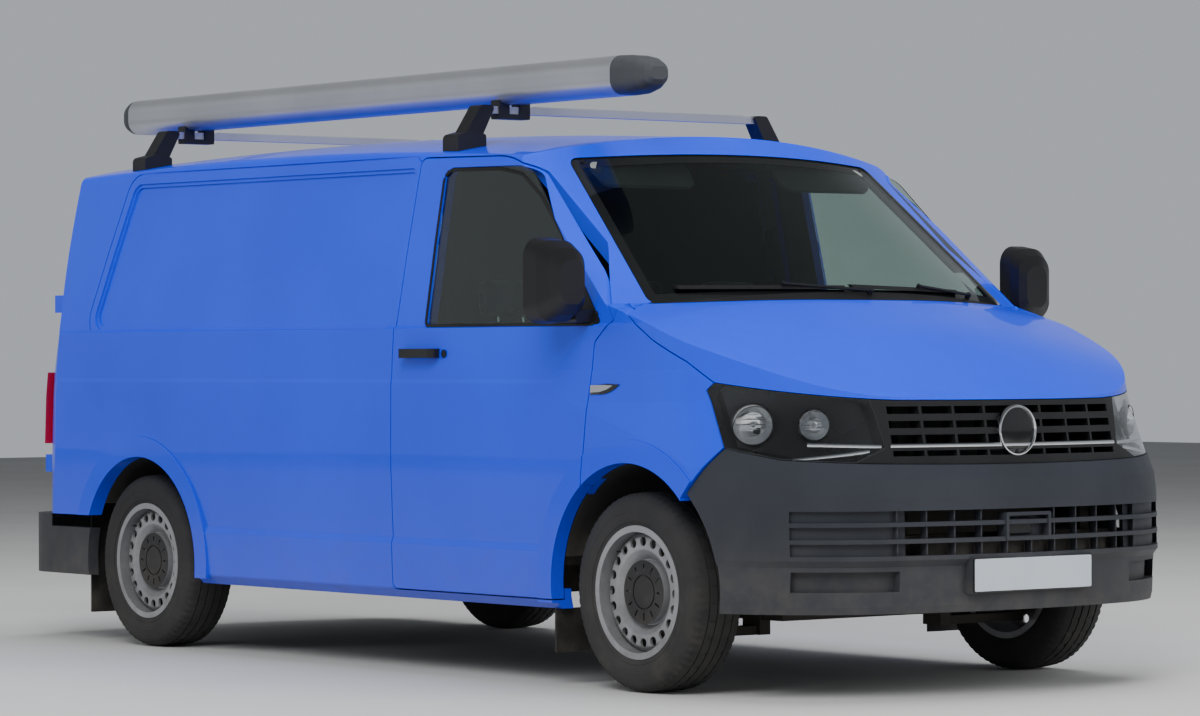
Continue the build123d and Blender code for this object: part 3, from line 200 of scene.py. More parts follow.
MIRROR = finish_of("MirrorGlass", (0.86, 0.88, 0.89), (0.82, 0.84, 0.86), (0.02, 0.04), metallic=1.0,
    bump=0.005)


def screen_glass():
    """Windscreen glass with its black printed border, which has a sharp edge all round; the dots it fades in
    along the top are not drawn.
    """
    m = finish_of("ScreenGlass", (0.66, 0.79, 0.73), (0.64, 0.77, 0.71), (0.0, 0.015), bump=0.003,
        bump_scale=20, transmission=1.0, ior=1.5)
    nt = m.node_tree
    b = next(n for n in nt.nodes if n.type == "BSDF_PRINCIPLED")
    out = next(n for n in nt.nodes if n.type == "OUTPUT_MATERIAL")
    where = next(n for n in nt.nodes if n.type == "TEX_COORD").outputs["Object"]
    xyz = nt.nodes.new("ShaderNodeSeparateXYZ")
    nt.links.new(where, xyz.inputs[0])
    y = maths(nt, "ABSOLUTE", xyz.outputs[1])
    z = xyz.outputs[2]
    side = maths(nt, "ADD", maths(nt, "ADD", y, maths(nt, "MULTIPLY", z, 0.2332)), -0.752 - 0.2332 * 1.262)
    crown = maths(nt, "MULTIPLY", maths(nt, "MULTIPLY", y, y), 0.072)
    top = maths(nt, "ADD", maths(nt, "ADD", z, crown), -1.762)
    low = maths(nt, "SUBTRACT", 1.312, maths(nt, "ADD", z, maths(nt, "MULTIPLY", crown, 0.4)))
    edge = maths(nt, "MAXIMUM", side, maths(nt, "MAXIMUM", top, low))
    print_b = nt.nodes.new("ShaderNodeBsdfPrincipled")
    nt.links.new(noise_tone(nt, where), print_b.inputs["Base Color"])
    print_b.inputs["Roughness"].default_value = 0.06
    blend = nt.nodes.new("ShaderNodeMixShader")
    nt.links.new(spread(nt, edge, -0.001, 0.001, 0.0, 1.0), blend.inputs[0])
    nt.links.new(b.outputs[0], blend.inputs[1])
    nt.links.new(print_b.outputs[0], blend.inputs[2])
    nt.links.new(blend.outputs[0], out.inputs[0])
    return m


def noise_tone(nt, where):
    return mix_colour(nt, noise(nt, where, 4), (0.006, 0.007, 0.007), (0.010, 0.011, 0.011))


SCREEN = screen_glass()


def paint_faces(node, rule, *materials):
    """Gives a CAD node its materials; rule(centre, normal) says which one a face takes."""
    mesh = NODES[node].data
    mesh.materials.clear()
    for m in materials:
        mesh.materials.append(m)
    for p in mesh.polygons:
        p.material_index = rule(p.center, p.normal)


# Mesh helpers
def add(name, verts, faces, material, body, slot, smooth=30, bevel=0.0, segments=2, thick=0.0):
    mesh = bpy.data.meshes.new(name)
    mesh.from_pydata([tuple(v) for v in verts], [], faces)
    mesh.materials.append(material)
    bm = bmesh.new()
    bm.from_mesh(mesh)
    bmesh.ops.remove_doubles(bm, verts=bm.verts, dist=1e-6)
    bmesh.ops.recalc_face_normals(bm, faces=bm.faces)
    bm.to_mesh(mesh)
    bm.free()
    mesh.update()
    ob = bpy.data.objects.new(name, mesh)
    bpy.context.collection.objects.link(ob)
    if thick:
        mod = ob.modifiers.new("Thickness", "SOLIDIFY")
        mod.thickness = thick
        mod.offset = 0
    if bevel:
        mod = ob.modifiers.new("Edges", "BEVEL")
        mod.width = bevel
        mod.segments = segments
        mod.limit_method = "ANGLE"
        mod.angle_limit = math.radians(35)
    mesh.shade_smooth()
    if smooth:
        mesh.set_sharp_from_angle(angle=math.radians(smooth))
    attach(ob, body)
    return ob


def block(lo, hi):
    """Corners and faces of a box."""
    v = [(x, y, z) for x in (lo[0], hi[0]) for y in (lo[1], hi[1]) for z in (lo[2], hi[2])]
    return v, [(0, 1, 3, 2), (4, 6, 7, 5), (0, 4, 5, 1), (2, 3, 7, 6), (0, 2, 6, 4), (1, 5, 7, 3)]


def join(*parts):
    """Joins lists of corners and faces."""
    verts, faces = [], []
    for v, f in parts:
        n = len(verts)
        verts += [tuple(p) for p in v]
        faces += [tuple(i + n for i in face) for face in f]
    return verts, faces


def sweep(points, r, sides=10, closed=False, flat=1.0):
    """Round or flattened bar along a line of points."""
    pts = [Vector(p) for p in points]
    n = len(pts)
    verts, faces = [], []
    for i, p in enumerate(pts):
        a = pts[(i - 1) % n] if closed or i else p
        b = pts[(i + 1) % n] if closed or i < n - 1 else p
        t = (b - a).normalized()
        up = Vector((0, 0, 1)) if abs(t.z) < 0.9 else Vector((1, 0, 0))
        u = t.cross(up).normalized()
        w = u.cross(t)
        for k in range(sides):
            q = 2 * math.pi * k / sides
            verts.append(p + u * (r * math.cos(q) * flat) + w * (r * math.sin(q)))
    for i in range(n if closed else n - 1):
        j = (i + 1) % n
        for k in range(sides):
            m = (k + 1) % sides
            faces.append((i * sides + k, i * sides + m, j * sides + m, j * sides + k))
    if not closed:
        faces.append(tuple(range(sides))[::-1])
        faces.append(tuple((n - 1) * sides + k for k in range(sides)))
    return verts, faces


def lathe(profile, centre, steps=96, axis="y", radius_at=None):
    """Turned body: profile of (distance along the axis, radius) round a Y or X axis."""
    verts, faces = [], []
    n = len(profile)
    for k in range(steps):
        a = 2 * math.pi * k / steps
        for i, (s, r) in enumerate(profile):
            if radius_at:
                r = radius_at(i, k, r)
            if axis == "y":
                verts.append((centre[0] + r * math.cos(a), centre[1] + s, centre[2] + r * math.sin(a)))
            elif axis == "x":
                verts.append((centre[0] + s, centre[1] + r * math.cos(a), centre[2] + r * math.sin(a)))
            else:
                verts.append((centre[0] + r * math.cos(a), centre[1] + r * math.sin(a), centre[2] + s))
    for k in range(steps):
        m = (k + 1) % steps
        for i in range(n - 1):
            faces.append((k * n + i, k * n + i + 1, m * n + i + 1, m * n + i))
    return verts, faces


def loft(rings):
    """Closed body through rings of equally many points: corners and faces."""
    n, m = len(rings[0]), len(rings)
    verts = [p for ring in rings for p in ring]
    faces = [tuple(range(n)), tuple(range(m * n - 1, (m - 1) * n - 1, -1))]
    for i in range(m - 1):
        faces += [(i * n + k, i * n + (k + 1) % n, (i + 1) * n + (k + 1) % n,
            (i + 1) * n + k) for k in range(n)]
    return verts, faces


def hexagon(centre, r, depth, axis="y", sides=6):
    """Bolt head with a domed end."""
    return lathe([(0, 0.0), (0, r), (depth * 0.75, r), (depth, r * 0.8), (depth, 0.0)], centre, sides, axis)


TREES = {}


def tree(*nodes):
    if nodes not in TREES:
        verts, faces = [], []
        for n in nodes:
            mesh = NODES[n].data
            off = len(verts)
            verts += [v.co.copy() for v in mesh.vertices]
            faces += [[i + off for i in p.vertices] for p in mesh.polygons]
        TREES[nodes] = BVHTree.FromPolygons(verts, faces)
    return TREES[nodes]


def onto(nodes, origin, direction, out=0.0):
    """Point where a ray meets the CAD nodes, moved out along the surface's normal."""
    hit, normal, _, _ = tree(*nodes).ray_cast(Vector(origin), Vector(direction).normalized())
    if hit is None:
        return None
    if normal.dot(Vector(direction)) > 0:
        normal = -normal
    return hit + normal * out


def on_side(nodes, x, z, side, out=0.0):
    return onto(nodes, (x, side * 2.0, z), (0, -side, 0), out)


def on_front(nodes, y, z, out=0.0):
    return onto(nodes, (4.0, y, z), (-1, 0, 0), out)


def on_rear(nodes, y, z, out=0.0):
    return onto(nodes, (-4.0, y, z), (1, 0, 0), out)


def along(points, step=0.03):
    """Closed line of points split into short steps."""
    out = []
    n = len(points)
    for i in range(n):
        a, b = points[i], points[(i + 1) % n]
        m = max(1, int(math.dist(a, b) / step))
        out += [tuple(a[k] + (b[k] - a[k]) * j / m for k in range(len(a))) for j in range(m)]
    return out


def rounded(points, radii, steps=5):
    """Closed 2D outline with rounded corners."""
    out = []
    n = len(points)
    for i, (p, r) in enumerate(zip(points, radii)):
        p = Vector(p)
        a = (Vector(points[i - 1]) - p).normalized()
        b = (Vector(points[(i + 1) % n]) - p).normalized()
        if r <= 0:
            out.append(tuple(p))
            continue
        half = a.angle(b) / 2
        d = r / math.tan(half)
        c = p + (a + b).normalized() * (r / math.sin(half))
        s, e = p + a * d - c, p + b * d - c
        for k in range(steps + 1):
            v = s.lerp(e, k / steps)
            out.append(tuple(c + v.normalized() * r))
    return out


def patch(outline, project, out, thick):
    """Thin plate that follows a surface inside a closed 2D outline: corners, faces."""
    cx = sum(p[0] for p in outline) / len(outline)
    cy = sum(p[1] for p in outline) / len(outline)
    rings = (0.0, 0.35, 0.7, 1.0)
    verts, faces = [], []
    n = len(outline)
    for level in (out, out - thick):
        for s in rings:
            for p in outline:
                q = project(cx + (p[0] - cx) * s, cy + (p[1] - cy) * s, level)
                verts.append(q)
    per = n * len(rings)
    for top in (0, 1):
        base = top * per
        for i in range(len(rings) - 1):
            for k in range(n):
                m = (k + 1) % n
                faces.append((base + i * n + k, base + i * n + m, base + (i + 1) * n + m,
                    base + (i + 1) * n + k))
    e = (len(rings) - 1) * n
    for k in range(n):
        m = (k + 1) % n
        faces.append((e + k, e + m, per + e + m, per + e + k))
    return verts, faces


# Finishes of the CAD nodes
def side_rule(side):
    def rule(c, n):
        if n.y * side < -0.25 and c.z > 0.3 and abs(c.y) < 0.925:
            if c.x > 0.16 and c.z > 1.0:
                return 1
            return 2 if c.x < 0.16 and 0.6 < c.z < 1.7 else 3
        return 0
    return rule


for side, word in SIDES:
    paint_faces("side_" + word, side_rule(side), PAINT, TRIM, LINER, INNER)
paint_faces("sliding_door", side_rule(1), PAINT, TRIM, LINER, INNER)
for side, word in SIDES:
    def door_rule(c, n, side=side):
        if n.y * side > -0.3 or abs(c.y) > 0.935:
            return 0
        return 1 if c.z > 1.2 else 2

    paint_faces("door_" + word, door_rule, PAINT, TRIM, CAB)
for name in ("rear_door_right", "rear_door_left"):
    paint_faces(name, lambda c, n: 1 if n.x > 0.5 else 0, PAINT, LINER)
paint_faces("roof", lambda c, n: 0 if n.z > -0.2 else (1 if c.x > 0.16 else 2), PAINT, TRIM, INNER)
paint_faces("wings", lambda c, n: 1 if (n.y * (1 if c.y > 0 else -1) < -0.3) else 0, PAINT, UNDERSEAL)
paint_faces("bonnet", lambda c, n: 1 if n.z < -0.2 else 0, PAINT, INNER)
paint_faces("floor", lambda c, n: 0 if n.z > 0.3 and c.z < 0.6 else 1, INNER, UNDERSEAL)
paint_faces("front_frame", lambda c, n: 0, UNDERSEAL)
for name, finish in (
    ("bulkhead", CAB), ("front_bumper", BUMPER), ("rear_bumper", BUMPER), ("grille", BLACK), ("cowl", BLACK),
    ("wipers", BLACK), ("mudflaps", RUBBER), ("bar_feet", BLACK), ("mirror_and_handle_right", BLACK),
    ("mirror_and_handle_left", BLACK), ("sliding_door_handle", BLACK), ("rear_door_handle", BLACK),
    ("headlamps", CLEAR), ("tail_lamps", RED), ("windscreen", SCREEN), ("door_glass_right", GLASS),
    ("door_glass_left", GLASS), ("dashboard", CAB), ("steering_wheel", CAB), ("seat_bases", CAB), ("seats",
        CLOTH),
    ("front_subframe", METAL), ("rear_axle", METAL), ("knuckle_right", METAL), ("knuckle_left", METAL),
    ("engine", METAL), ("exhaust", STEEL), ("fuel_tank", UNDERSEAL), ("roof_bars", ALU), ("pipe_tube", ALU),
    ("tube_front_cap", CAPS), ("tube_rear_cap", CAPS), ("load_mat", BOARD),
):
    paint_faces(name, lambda c, n: 0, finish)
for name, x, side in AXLES:
    def cap_rule(c, n, x=x, side=side):
        r = math.hypot(c.x - x, c.z - TYRE_R)
        return 1 if r < 0.1045 and c.y * side > WHEEL_Y + 0.058 else 0
    paint_faces("wheel_" + name, cap_rule, WHEEL, BLACK)


# Tyres with their tread, and what turns with the wheels
TYRE_HALF = 0.1025
TREAD_HALF = 0.077
GROOVE = 0.0075


def tyre_profile():
    """Half-width and radius pairs across the tyre, from one bead to the other."""
    side_wall = [(-0.079, 0.2075), (-0.088, 0.214), (-0.094, 0.222), (-0.0985, 0.236), (-0.1015, 0.252)]
    side_wall += [(-TYRE_HALF, 0.268), (-0.1012, 0.283), (-0.0985, 0.296), (-0.094, 0.3065)]
    side_wall += [(-0.0875, 0.3145), (-0.082, 0.3185)]
    tread = []
    edges = [-TREAD_HALF, -0.053, -0.047, -0.020, -0.0135, 0.0135, 0.020, 0.047, 0.053, TREAD_HALF]
    for i, y in enumerate(edges):
        r = TYRE_R - 0.55 * GROOVE * (abs(y) / TREAD_HALF) ** 2.6
        if i in (1, 3, 5, 7):
            tread += [(y, r), (y + 0.001, r - GROOVE)]
        elif i in (2, 4, 6, 8):
            tread += [(y - 0.001, r - GROOVE), (y, r)]
        else:
            tread.append((y, r))
    return side_wall + tread + [(-y, r) for y, r in reversed(side_wall)]


PROFILE = tyre_profile()
# Raised rings on the outer wall: distance from the tyre's middle, radius
WALL_RINGS = (
    ((0.0965, 0.2305), (0.0990, 0.2310), (0.1000, 0.2345), (0.0985, 0.2375)),
    ((0.1010, 0.2600), (0.1030, 0.2620), (0.1030, 0.2660), (0.1012, 0.2680)),
)


def tyre(name, x, side):
    def radius(i, k, r):
        y = PROFILE[i][0]
        if abs(y) > 0.0535 and r > 0.3 and k % 3 == 0:
            return r - (0.0055 if abs(y) < 0.09 else 0.003)
        if 0.019 < abs(y) < 0.048 and r > 0.322 and k % 6 == 3:
            return r - 0.004
        return r

    centre = (x, side * WHEEL_Y, TYRE_R)
    parts = [lathe(PROFILE, centre, 210, "y", radius)]
    for ring in WALL_RINGS:
        parts.append(lathe([(side * s, r) for s, r in ring], centre, 96, "y"))
    ob = add("tyre_%s_tread" % name, *join(*parts), TYRE, name + "_wheel", "tyre", 38)
    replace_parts(ob, "tyre_" + name)


BOLT_RING_R = 0.056
for name, x, side in AXLES:
    tyre(name, x, side)
    bolts = []
    for i in range(5):
        a = 2 * math.pi * (i + 0.25) / 5
        at = (x + BOLT_RING_R * math.cos(a), side * (WHEEL_Y + 0.028), TYRE_R + BOLT_RING_R * math.sin(a))
        bolts.append(hexagon(at, 0.011, side * 0.016))
    add("bolts_" + name, *join(*bolts), METAL, name + "_wheel", "wheel_paint", 30)
    stem = [(side * s, r) for s, r in ((0, 0.006), (0.012, 0.005), (0.022, 0.0035), (0.034, 0.004), (0.036,
        0.0))]
    valve = lathe(stem, (x - 0.120, side * (WHEEL_Y + 0.046), TYRE_R + 0.128), 12)
    add("valve_" + name, *valve, RUBBER, name + "_wheel", "tyre", 30)
    section = [(side * s, r) for s, r in ((0, 0.075), (0, 0.140), (-0.012, 0.140), (-0.012, 0.075))]
    disc = lathe(section, (x, side * (WHEEL_Y - 0.015), TYRE_R), 64)
    add("brake_disc_" + name, *disc, STEEL, name + "_wheel", "exhaust_steel", 30)


# Door window seals
WINDOW = [(1.400, 1.196), (1.262, 1.328), (1.090, 1.514), (0.952, 1.635)]
WINDOW += [(0.823, 1.715), (0.690, 1.738), (0.374, 1.745), (0.398, 1.198)]
WINDOW_R = (0.02, 0, 0, 0.05, 0.08, 0.06, 0.04, 0.02)
WINDOW_MID = (0.85, 1.45)
SEAL_SIZE = 0.992
SEAL_R = 0.0065
for side, word in SIDES:
    cx, cz = WINDOW_MID
    ring = []
    for x, z in along(rounded(WINDOW, WINDOW_R)):
        p = on_side(("door_" + word, "door_glass_" + word), x, z, side)
        y = (p.y if p else side * 0.9) - side * 0.001
        ring.append((cx + (x - cx) * SEAL_SIZE, y, cz + (z - cz) * SEAL_SIZE))
    add("window_seal_" + word, *sweep(ring, SEAL_R, 8, True), RUBBER, word + "_door", "black_plastic")


# Plates, lamps and trim
PLATE_W, PLATE_H = 0.52, 0.111
PLATE_CORNER = 0.006
FRONT_PLATE = (2.4505, 0.393)
REAR_PLATE_AT = Vector((-2.3196, 0.3477, 0.775))
REAR_PLATE_TURN = math.radians(6.7)


def plate_outline(half_w, half_h):
    corners = [(-half_w, -half_h), (half_w, -half_h), (half_w, half_h), (-half_w, half_h)]
    return rounded(corners, (PLATE_CORNER,) * 4)


def front_plate():
    x, z = FRONT_PLATE
    half_w, half_h = PLATE_W / 2, PLATE_H / 2

    def slab(t0, t1, inset):
        outline = [(y * (1 - inset / half_w), q * (1 - inset / half_h)) for y, q in plate_outline(half_w,
            half_h)]
        return loft([[(x + t, y, z + q) for y, q in outline] for t in (t0, t1)])

    add("front_plate_border", *slab(-0.003, 0.0, 0.0), GLOSS, "body", "black_plastic")
    add("front_plate_face", *slab(-0.001, 0.0006, 0.004), PLATE, "body", "lamp_clear")


front_plate()


# Headlamps: skins of the CAD node, and turned bodies
def layer(node, keep, thick):
    """Skin of some faces of a CAD node, given a thickness inwards: corners and faces."""
    mesh = NODES[node].data
    keys, points, normals, faces = {}, [], [], []
    for p in mesh.polygons:
        if not keep(p.center, p.normal):
            continue
        face = []
        for i in p.vertices:
            co = mesh.vertices[i].co
            key = (round(co.x, 5), round(co.y, 5), round(co.z, 5))
            if key not in keys:
                keys[key] = len(points)
                points.append(co.copy())
                normals.append(Vector((0, 0, 0)))
            k = keys[key]
            normals[k] += p.normal * p.area
            face.append(k)
        if len(set(face)) == len(face):
            faces.append(tuple(face))
    n = len(points)
    verts = points + [p - q.normalized() * thick for p, q in zip(points, normals)]
    edges = dict.fromkeys(pair for f in faces for pair in zip(f, f[1:] + f[:1]))
    rim = [(a, b) for a, b in edges if (b, a) not in edges]
    out = list(faces) + [tuple(i + n for i in reversed(f)) for f in faces]
    out += [(b, a, a + n, b + n) for a, b in rim]
    return verts, out


def turned(profile, centre, direction, steps=48):
    """Turned body whose axis points along a direction: profile of (distance, radius)."""
    verts, faces = lathe(profile, (0, 0, 0), steps, "x")
    turn = Vector((1, 0, 0)).rotation_difference(Vector(direction).normalized())
    return [Vector(centre) + turn @ Vector(v) for v in verts], faces


def bowl(r, depth):
    """Reflector: a dish with a thin wall and a rolled rim."""
    curve = [(-depth * (1 - (q / 8) ** 2), r * (0.2 + 0.8 * q / 8)) for q in range(1, 9)]
    back = [(-depth * 0.5, r * 0.85), (-depth - 0.002, r * 0.25), (-depth - 0.002, 0.0)]
    return [(-depth, 0.0), (-depth, r * 0.2)] + curve + [(0.0015, r + 0.001), (0.0, r + 0.003)] + back


def outward(n, side):
    return n.x + side * n.y * 0.9


def lens_face(side):
    """Says whether a headlamp's face on one side of the van looks outwards."""
    return lambda c, n: c.y * side > 0 and outward(n, side) > 0.45 and abs(n.z) < 0.75


def housing_face(side):
    lens = lens_face(side)
    return lambda c, n: c.y * side > 0 and not lens(c, n)


# Reflectors: name, Y, Z, radius
LAMPS = (("main", 0.842, 0.874, 0.062), ("dipped", 0.705, 0.872, 0.046))
REFLECTOR_DEPTH = 0.030
# Bright blades in each lamp: Y and Z at the start, Y and Z at the end, depth behind the lens
LAMP_BLADES = ((0.520, 0.8045, 0.735, 0.812, 0.008), (0.560, 0.790, 0.800, 0.762, 0.012))


def lamp_unit(own, side, kind, y, z, r):
    """One reflector with its surround, bulb and flutes, set square to the lens and a little forward."""
    front = onto(("headlamps",), (4.0, side * y, z), (-1, 0, 0))
    edge = onto(("headlamps",), (4.0, side * (y + 0.02), z), (-1, 0, 0))
    facing = Vector((0, 0, 1)).cross((edge - front).normalized()) * -side
    facing = (facing if facing.x > 0 else -facing).normalized()
    aim = (facing + Vector((0.25, 0, 0))).normalized()
    at = front - facing * 0.014
    name = "%s_%s_" % (own, kind)
    add(name + "reflector", *turned(bowl(r, REFLECTOR_DEPTH), at, aim), CHROME, "body", "lamp_clear", 40)
    ring = [(0.002, r + 0.001), (0.004, r + 0.004), (0.001, r + 0.007)]
    ring += [(-0.012, r + 0.007), (-0.012, r + 0.001), (0.002, r + 0.001)]
    add(name + "surround", *turned(ring, at, aim), GLOSS, "body", "black_plastic", 40)
    bulb = [(-0.030, 0.0), (-0.030, 0.008), (-0.012, 0.009), (-0.004, 0.006), (-0.001, 0.0)]
    add(name + "bulb", *turned(bulb, at, aim, 20), BULB, "body", "lamp_clear", 40)
    run = Vector((0, 0, 1)).cross(aim).normalized()
    tall = aim.cross(run).normalized()
    flutes = []
    for k in range(-3, 4):
        rise = k * r * 0.26
        half = math.sqrt(max(0.0, r * r - rise * rise)) * 0.92
        base = at - aim * 0.021 + tall * rise
        flutes.append(sweep([base - run * half, base - aim * 0.004, base + run * half], 0.0014, 6))
    add(name + "flutes", *join(*flutes), CHROME, "body", "lamp_clear", 40)


for side, word in SIDES:
    own = "headlamp_" + word
    lens = layer("headlamps", lens_face(side), 0.003)
    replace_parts(add(own + "_lens", *lens, CLEAR, "body", "lamp_clear", 40), "headlamps")
    housing = layer("headlamps", housing_face(side), 0.0015)
    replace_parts(add(own + "_housing", *housing, BEZEL, "body", "black_plastic", 40), "headlamps")
    for kind, y, z, r in LAMPS:
        lamp_unit(own, side, kind, y, z, r)
    blades = []
    for y0, z0, y1, z1, deep in LAMP_BLADES:
        row = []
        for k in range(13):
            t = k / 12
            p = onto(("headlamps",), (4.0, side * (y0 + (y1 - y0) * t), z0 + (z1 - z0) * t), (-1, 0, 0),
                -deep)
            if p:
                row.append(p)
        blades.append(sweep(row, 0.0065, 10, flat=0.5))
    add(own + "_chrome_blades", *join(*blades), CHROME, "body", "aluminium", 40)

# Grille: bright strip and bare badge disc
STRIP_Z = 0.8045
STRIP_HALF = 0.492
BADGE_Z = 0.850


def grille_trim():
    strip = [on_front(("grille",), -STRIP_HALF + 2 * STRIP_HALF * k / 40, STRIP_Z, 0.001) for k in range(41)]
    strip = [p for p in strip if p]
    add("grille_chrome_strip", *sweep(strip, 0.0065, 12, flat=0.5), CHROME, "body", "aluminium", 40)
    points = (on_front(("grille",), y, z) for y in (-0.07, 0, 0.07) for z in (0.797, 0.850, 0.895))
    centre = (max(p.x for p in points if p) - 0.012, 0, BADGE_Z)
    rim = [(0.0, 0.0825), (0.014, 0.0825), (0.019, 0.0800), (0.020, 0.0765)]
    rim += [(0.017, 0.0735), (0.012, 0.0725), (0.0, 0.0725)]
    add("badge_ring", *lathe(rim, centre, 96, "x"), CHROME, "body", "aluminium", 40)
    face = [(0.0, 0.0735), (0.0115, 0.0735), (0.0135, 0.055), (0.0145, 0.030), (0.0150, 0.0)]
    add("badge_disc", *lathe(face, centre, 96, "x"), GLOSS, "body", "black_plastic", 40)


grille_trim()

# Bright blades on the wings, under the crease: X, Z
BLADE_FRAME = [(1.353, 1.002), (1.440, 1.003), (1.502, 1.001), (1.482, 0.988), (1.455, 0.976), (1.425, 0.969),
    (1.353, 0.967)]
BLADE_FACE = [(1.358, 0.998), (1.430, 0.999), (1.470, 0.997), (1.440, 0.984), (1.405, 0.976), (1.358, 0.974)]
for side, word in SIDES:
    def on_wing(x, z, out, side=side):
        return on_side(("wings", "door_right", "door_left"), x, z, side, out) or Vector((x, side * 0.93, z))

    add("wing_blade_frame_" + word, *patch(BLADE_FRAME, on_wing, 0.0030, 0.0025), GLOSS, "body",
        "black_plastic", 30)
    add("wing_blade_" + word, *patch(BLADE_FACE, on_wing, 0.0055, 0.0025), CHROME, "body", "aluminium", 30)

# Lower grille: openings' lower and upper Z, pitch of the upright ribs
LOWER_ROWS = ((0.460, 0.499), (0.513, 0.552), (0.566, 0.602))
RIB_PITCH = 0.104
# Square box in the lower grille: Y and Z
BOX_Y = (-0.118, 0.078)
BOX_Z = (0.500, 0.590)


def lower_grille():
    ribs = []
    for z0, z1 in LOWER_ROWS:
        for k in range(-5, 6):
            y = k * RIB_PITCH
            behind_box = BOX_Y[0] - 0.012 < y < BOX_Y[1] + 0.012 and z0 > LOWER_ROWS[0][1]
            lip = on_front(("front_bumper",), y, z0 - 0.007)
            if lip and not behind_box:
                low, high = (lip.x - 0.040, y - 0.003, z0 - 0.002), (lip.x - 0.010, y + 0.003, z1 + 0.002)
                ribs.append(block(low, high))
    add("lower_grille_ribs", *join(*ribs), BUMPER, "body", "bumper_plastic", 30, bevel=0.001)
    ends = []
    for side in (-1, 1):
        for z0, z1 in LOWER_ROWS:
            rings = []
            for k in range(11):
                y = side * (0.520 + 0.285 * k / 10)
                lip = on_front(("front_bumper",), y, z0 - 0.007)
                if lip:
                    face, back = lip.x - 0.026, lip.x - 0.030
                    rings.append([(face, y, z0 - 0.002), (face, y, z1 + 0.002), (back, y, z1 + 0.002), (back,
                        y, z0 - 0.002)])
            ends.append(loft(rings))
    add("lower_grille_end_panels", *join(*ends), BUMPER, "body", "bumper_plastic", 30)


def square_box():
    x = on_front(("front_bumper",), 0.0, 0.506).x + 0.001
    (y0, y1), (z0, z1) = BOX_Y, BOX_Z
    outer = rounded([(y0, z0), (y1, z0), (y1, z1), (y0, z1)], (0.006,) * 4)
    a, b, c, d = y0 + 0.012, y1 - 0.012, z0 + 0.011, z1 - 0.011
    inner = rounded([(a, c), (b, c), (b, d), (a, d)], (0.004,) * 4)
    rings = [[(x - back, y, z) for y, z in outer] for back in (0.045, 0.002)]
    rings.append([(x, y * 0.995, z) for y, z in outer])
    rings += [[(x - back, y, z) for y, z in inner] for back in (0.0, 0.032)]
    add("front_box_frame", *loft(rings), BUMPER, "body", "bumper_plastic", 35)
    cover = block((x - 0.034, y0 + 0.030, z0 + 0.018), (x - 0.020, y1 - 0.065, z1 - 0.018))
    add("front_box_cover", *cover, BLACK, "body", "black_plastic", 30, bevel=0.004)


lower_grille()
square_box()

# Mirrors: glass in the rear face of each head, as Y, Z for the right-hand one
MIRROR_GLASS = [(-1.122, 1.236), (-1.002, 1.236), (-1.002, 1.446), (-1.122, 1.446)]
for side, word in SIDES:
    outline = rounded(MIRROR_GLASS, (0.030, 0.022, 0.022, 0.034))
    glass = loft([[(x, y * -side, z) for y, z in outline] for x in (1.2415, 1.2375)])
    add("mirror_glass_" + word, *glass, MIRROR, word + "_door", "glass", 30, bevel=0.0012)

# Sun visors, hung under the roof's front edge, with their pivots: Y, height
VISOR = [(0.185, 0.0), (0.620, 0.0), (0.595, 0.125), (0.200, 0.125)]
VISOR_MID = (0.405, 0.0625)
for side, word in SIDES:
    outline = rounded(VISOR, (0.03, 0.03, 0.035, 0.04))
    rings = []
    for size, t in ((0.94, -0.011), (1.0, -0.007), (1.0, 0.007), (0.94, 0.011)):
        ring = []
        for y, h in outline:
            y, h = VISOR_MID[0] + (y - VISOR_MID[0]) * size, VISOR_MID[1] + (h - VISOR_MID[1]) * size
            ring.append((0.905 + h * 0.62 + t * 0.75, side * y, 1.752 - h * 0.66 + t * 0.62))
        rings.append(ring)
    add("sun_visor_" + word, *loft(rings), TRIM, "body", "cab_plastic", 35)
    pivot = [(0.900, side * 0.630, 1.760), (0.905, side * 0.620, 1.750), (0.905, side * 0.560, 1.750)]
    add("sun_visor_pivot_" + word, *sweep(pivot, 0.005, 8), BLACK, "body", "black_plastic", 40)


# Dash: binnacle hood, centre stack with its controls, gear lever
def dash():
    hood = []
    for k in range(15):
        a = math.pi * k / 14
        hood.append((1.150 + 0.02 * math.sin(a), -0.470 + 0.170 * math.cos(a), 1.218 + 0.055 * math.sin(a)))
    add("dash_hood", *sweep(hood, 0.016, 10), CAB, "body", "cab_plastic", 40)
    z0, z1, mid = 0.960, 1.190, 1.075
    stack = rounded([(-0.130, z0), (0.130, z0), (0.130, z1), (-0.130, z1)], (0.02,) * 4)
    back = [(1.165 - (z - z0) * 0.10, y, z) for y, z in stack]
    face = [(1.128 - (z - z0) * 0.10, y * 0.94, mid + (z - mid) * 0.95) for y, z in stack]
    add("dash_centre_stack", *loft([back, face]), BLACK, "body", "black_plastic", 35, bevel=0.003)
    knob = [(0.0, 0.016), (-0.014, 0.015), (-0.016, 0.0)]
    keys = [lathe(knob, (1.124, y, 1.010), 24, "x") for y in (-0.075, 0.0, 0.075)]
    keys += [block((1.108, y - 0.014, 1.085), (1.120, y + 0.014, 1.100)) for y in (-0.09, -0.045, 0.0, 0.045,
        0.09)]
    add("dash_controls", *join(*keys), CAB, "body", "cab_plastic", 30, bevel=0.001)
    lever = [(1.100, -0.020, 0.935), (1.060, -0.020, 0.985), (1.035, -0.020, 1.020)]
    add("gear_lever", *sweep(lever, 0.009, 10), BLACK, "body", "black_plastic", 40)
    knob = [(0.0, 0.0), (0.004, 0.016), (0.022, 0.024), (0.042, 0.024), (0.054, 0.016), (0.058, 0.0)]
    knob = turned(knob, (1.046, -0.020, 1.005), (-0.35, 0, 1.0), 24)
    add("gear_knob", *knob, BLACK, "body", "black_plastic", 60)


dash()


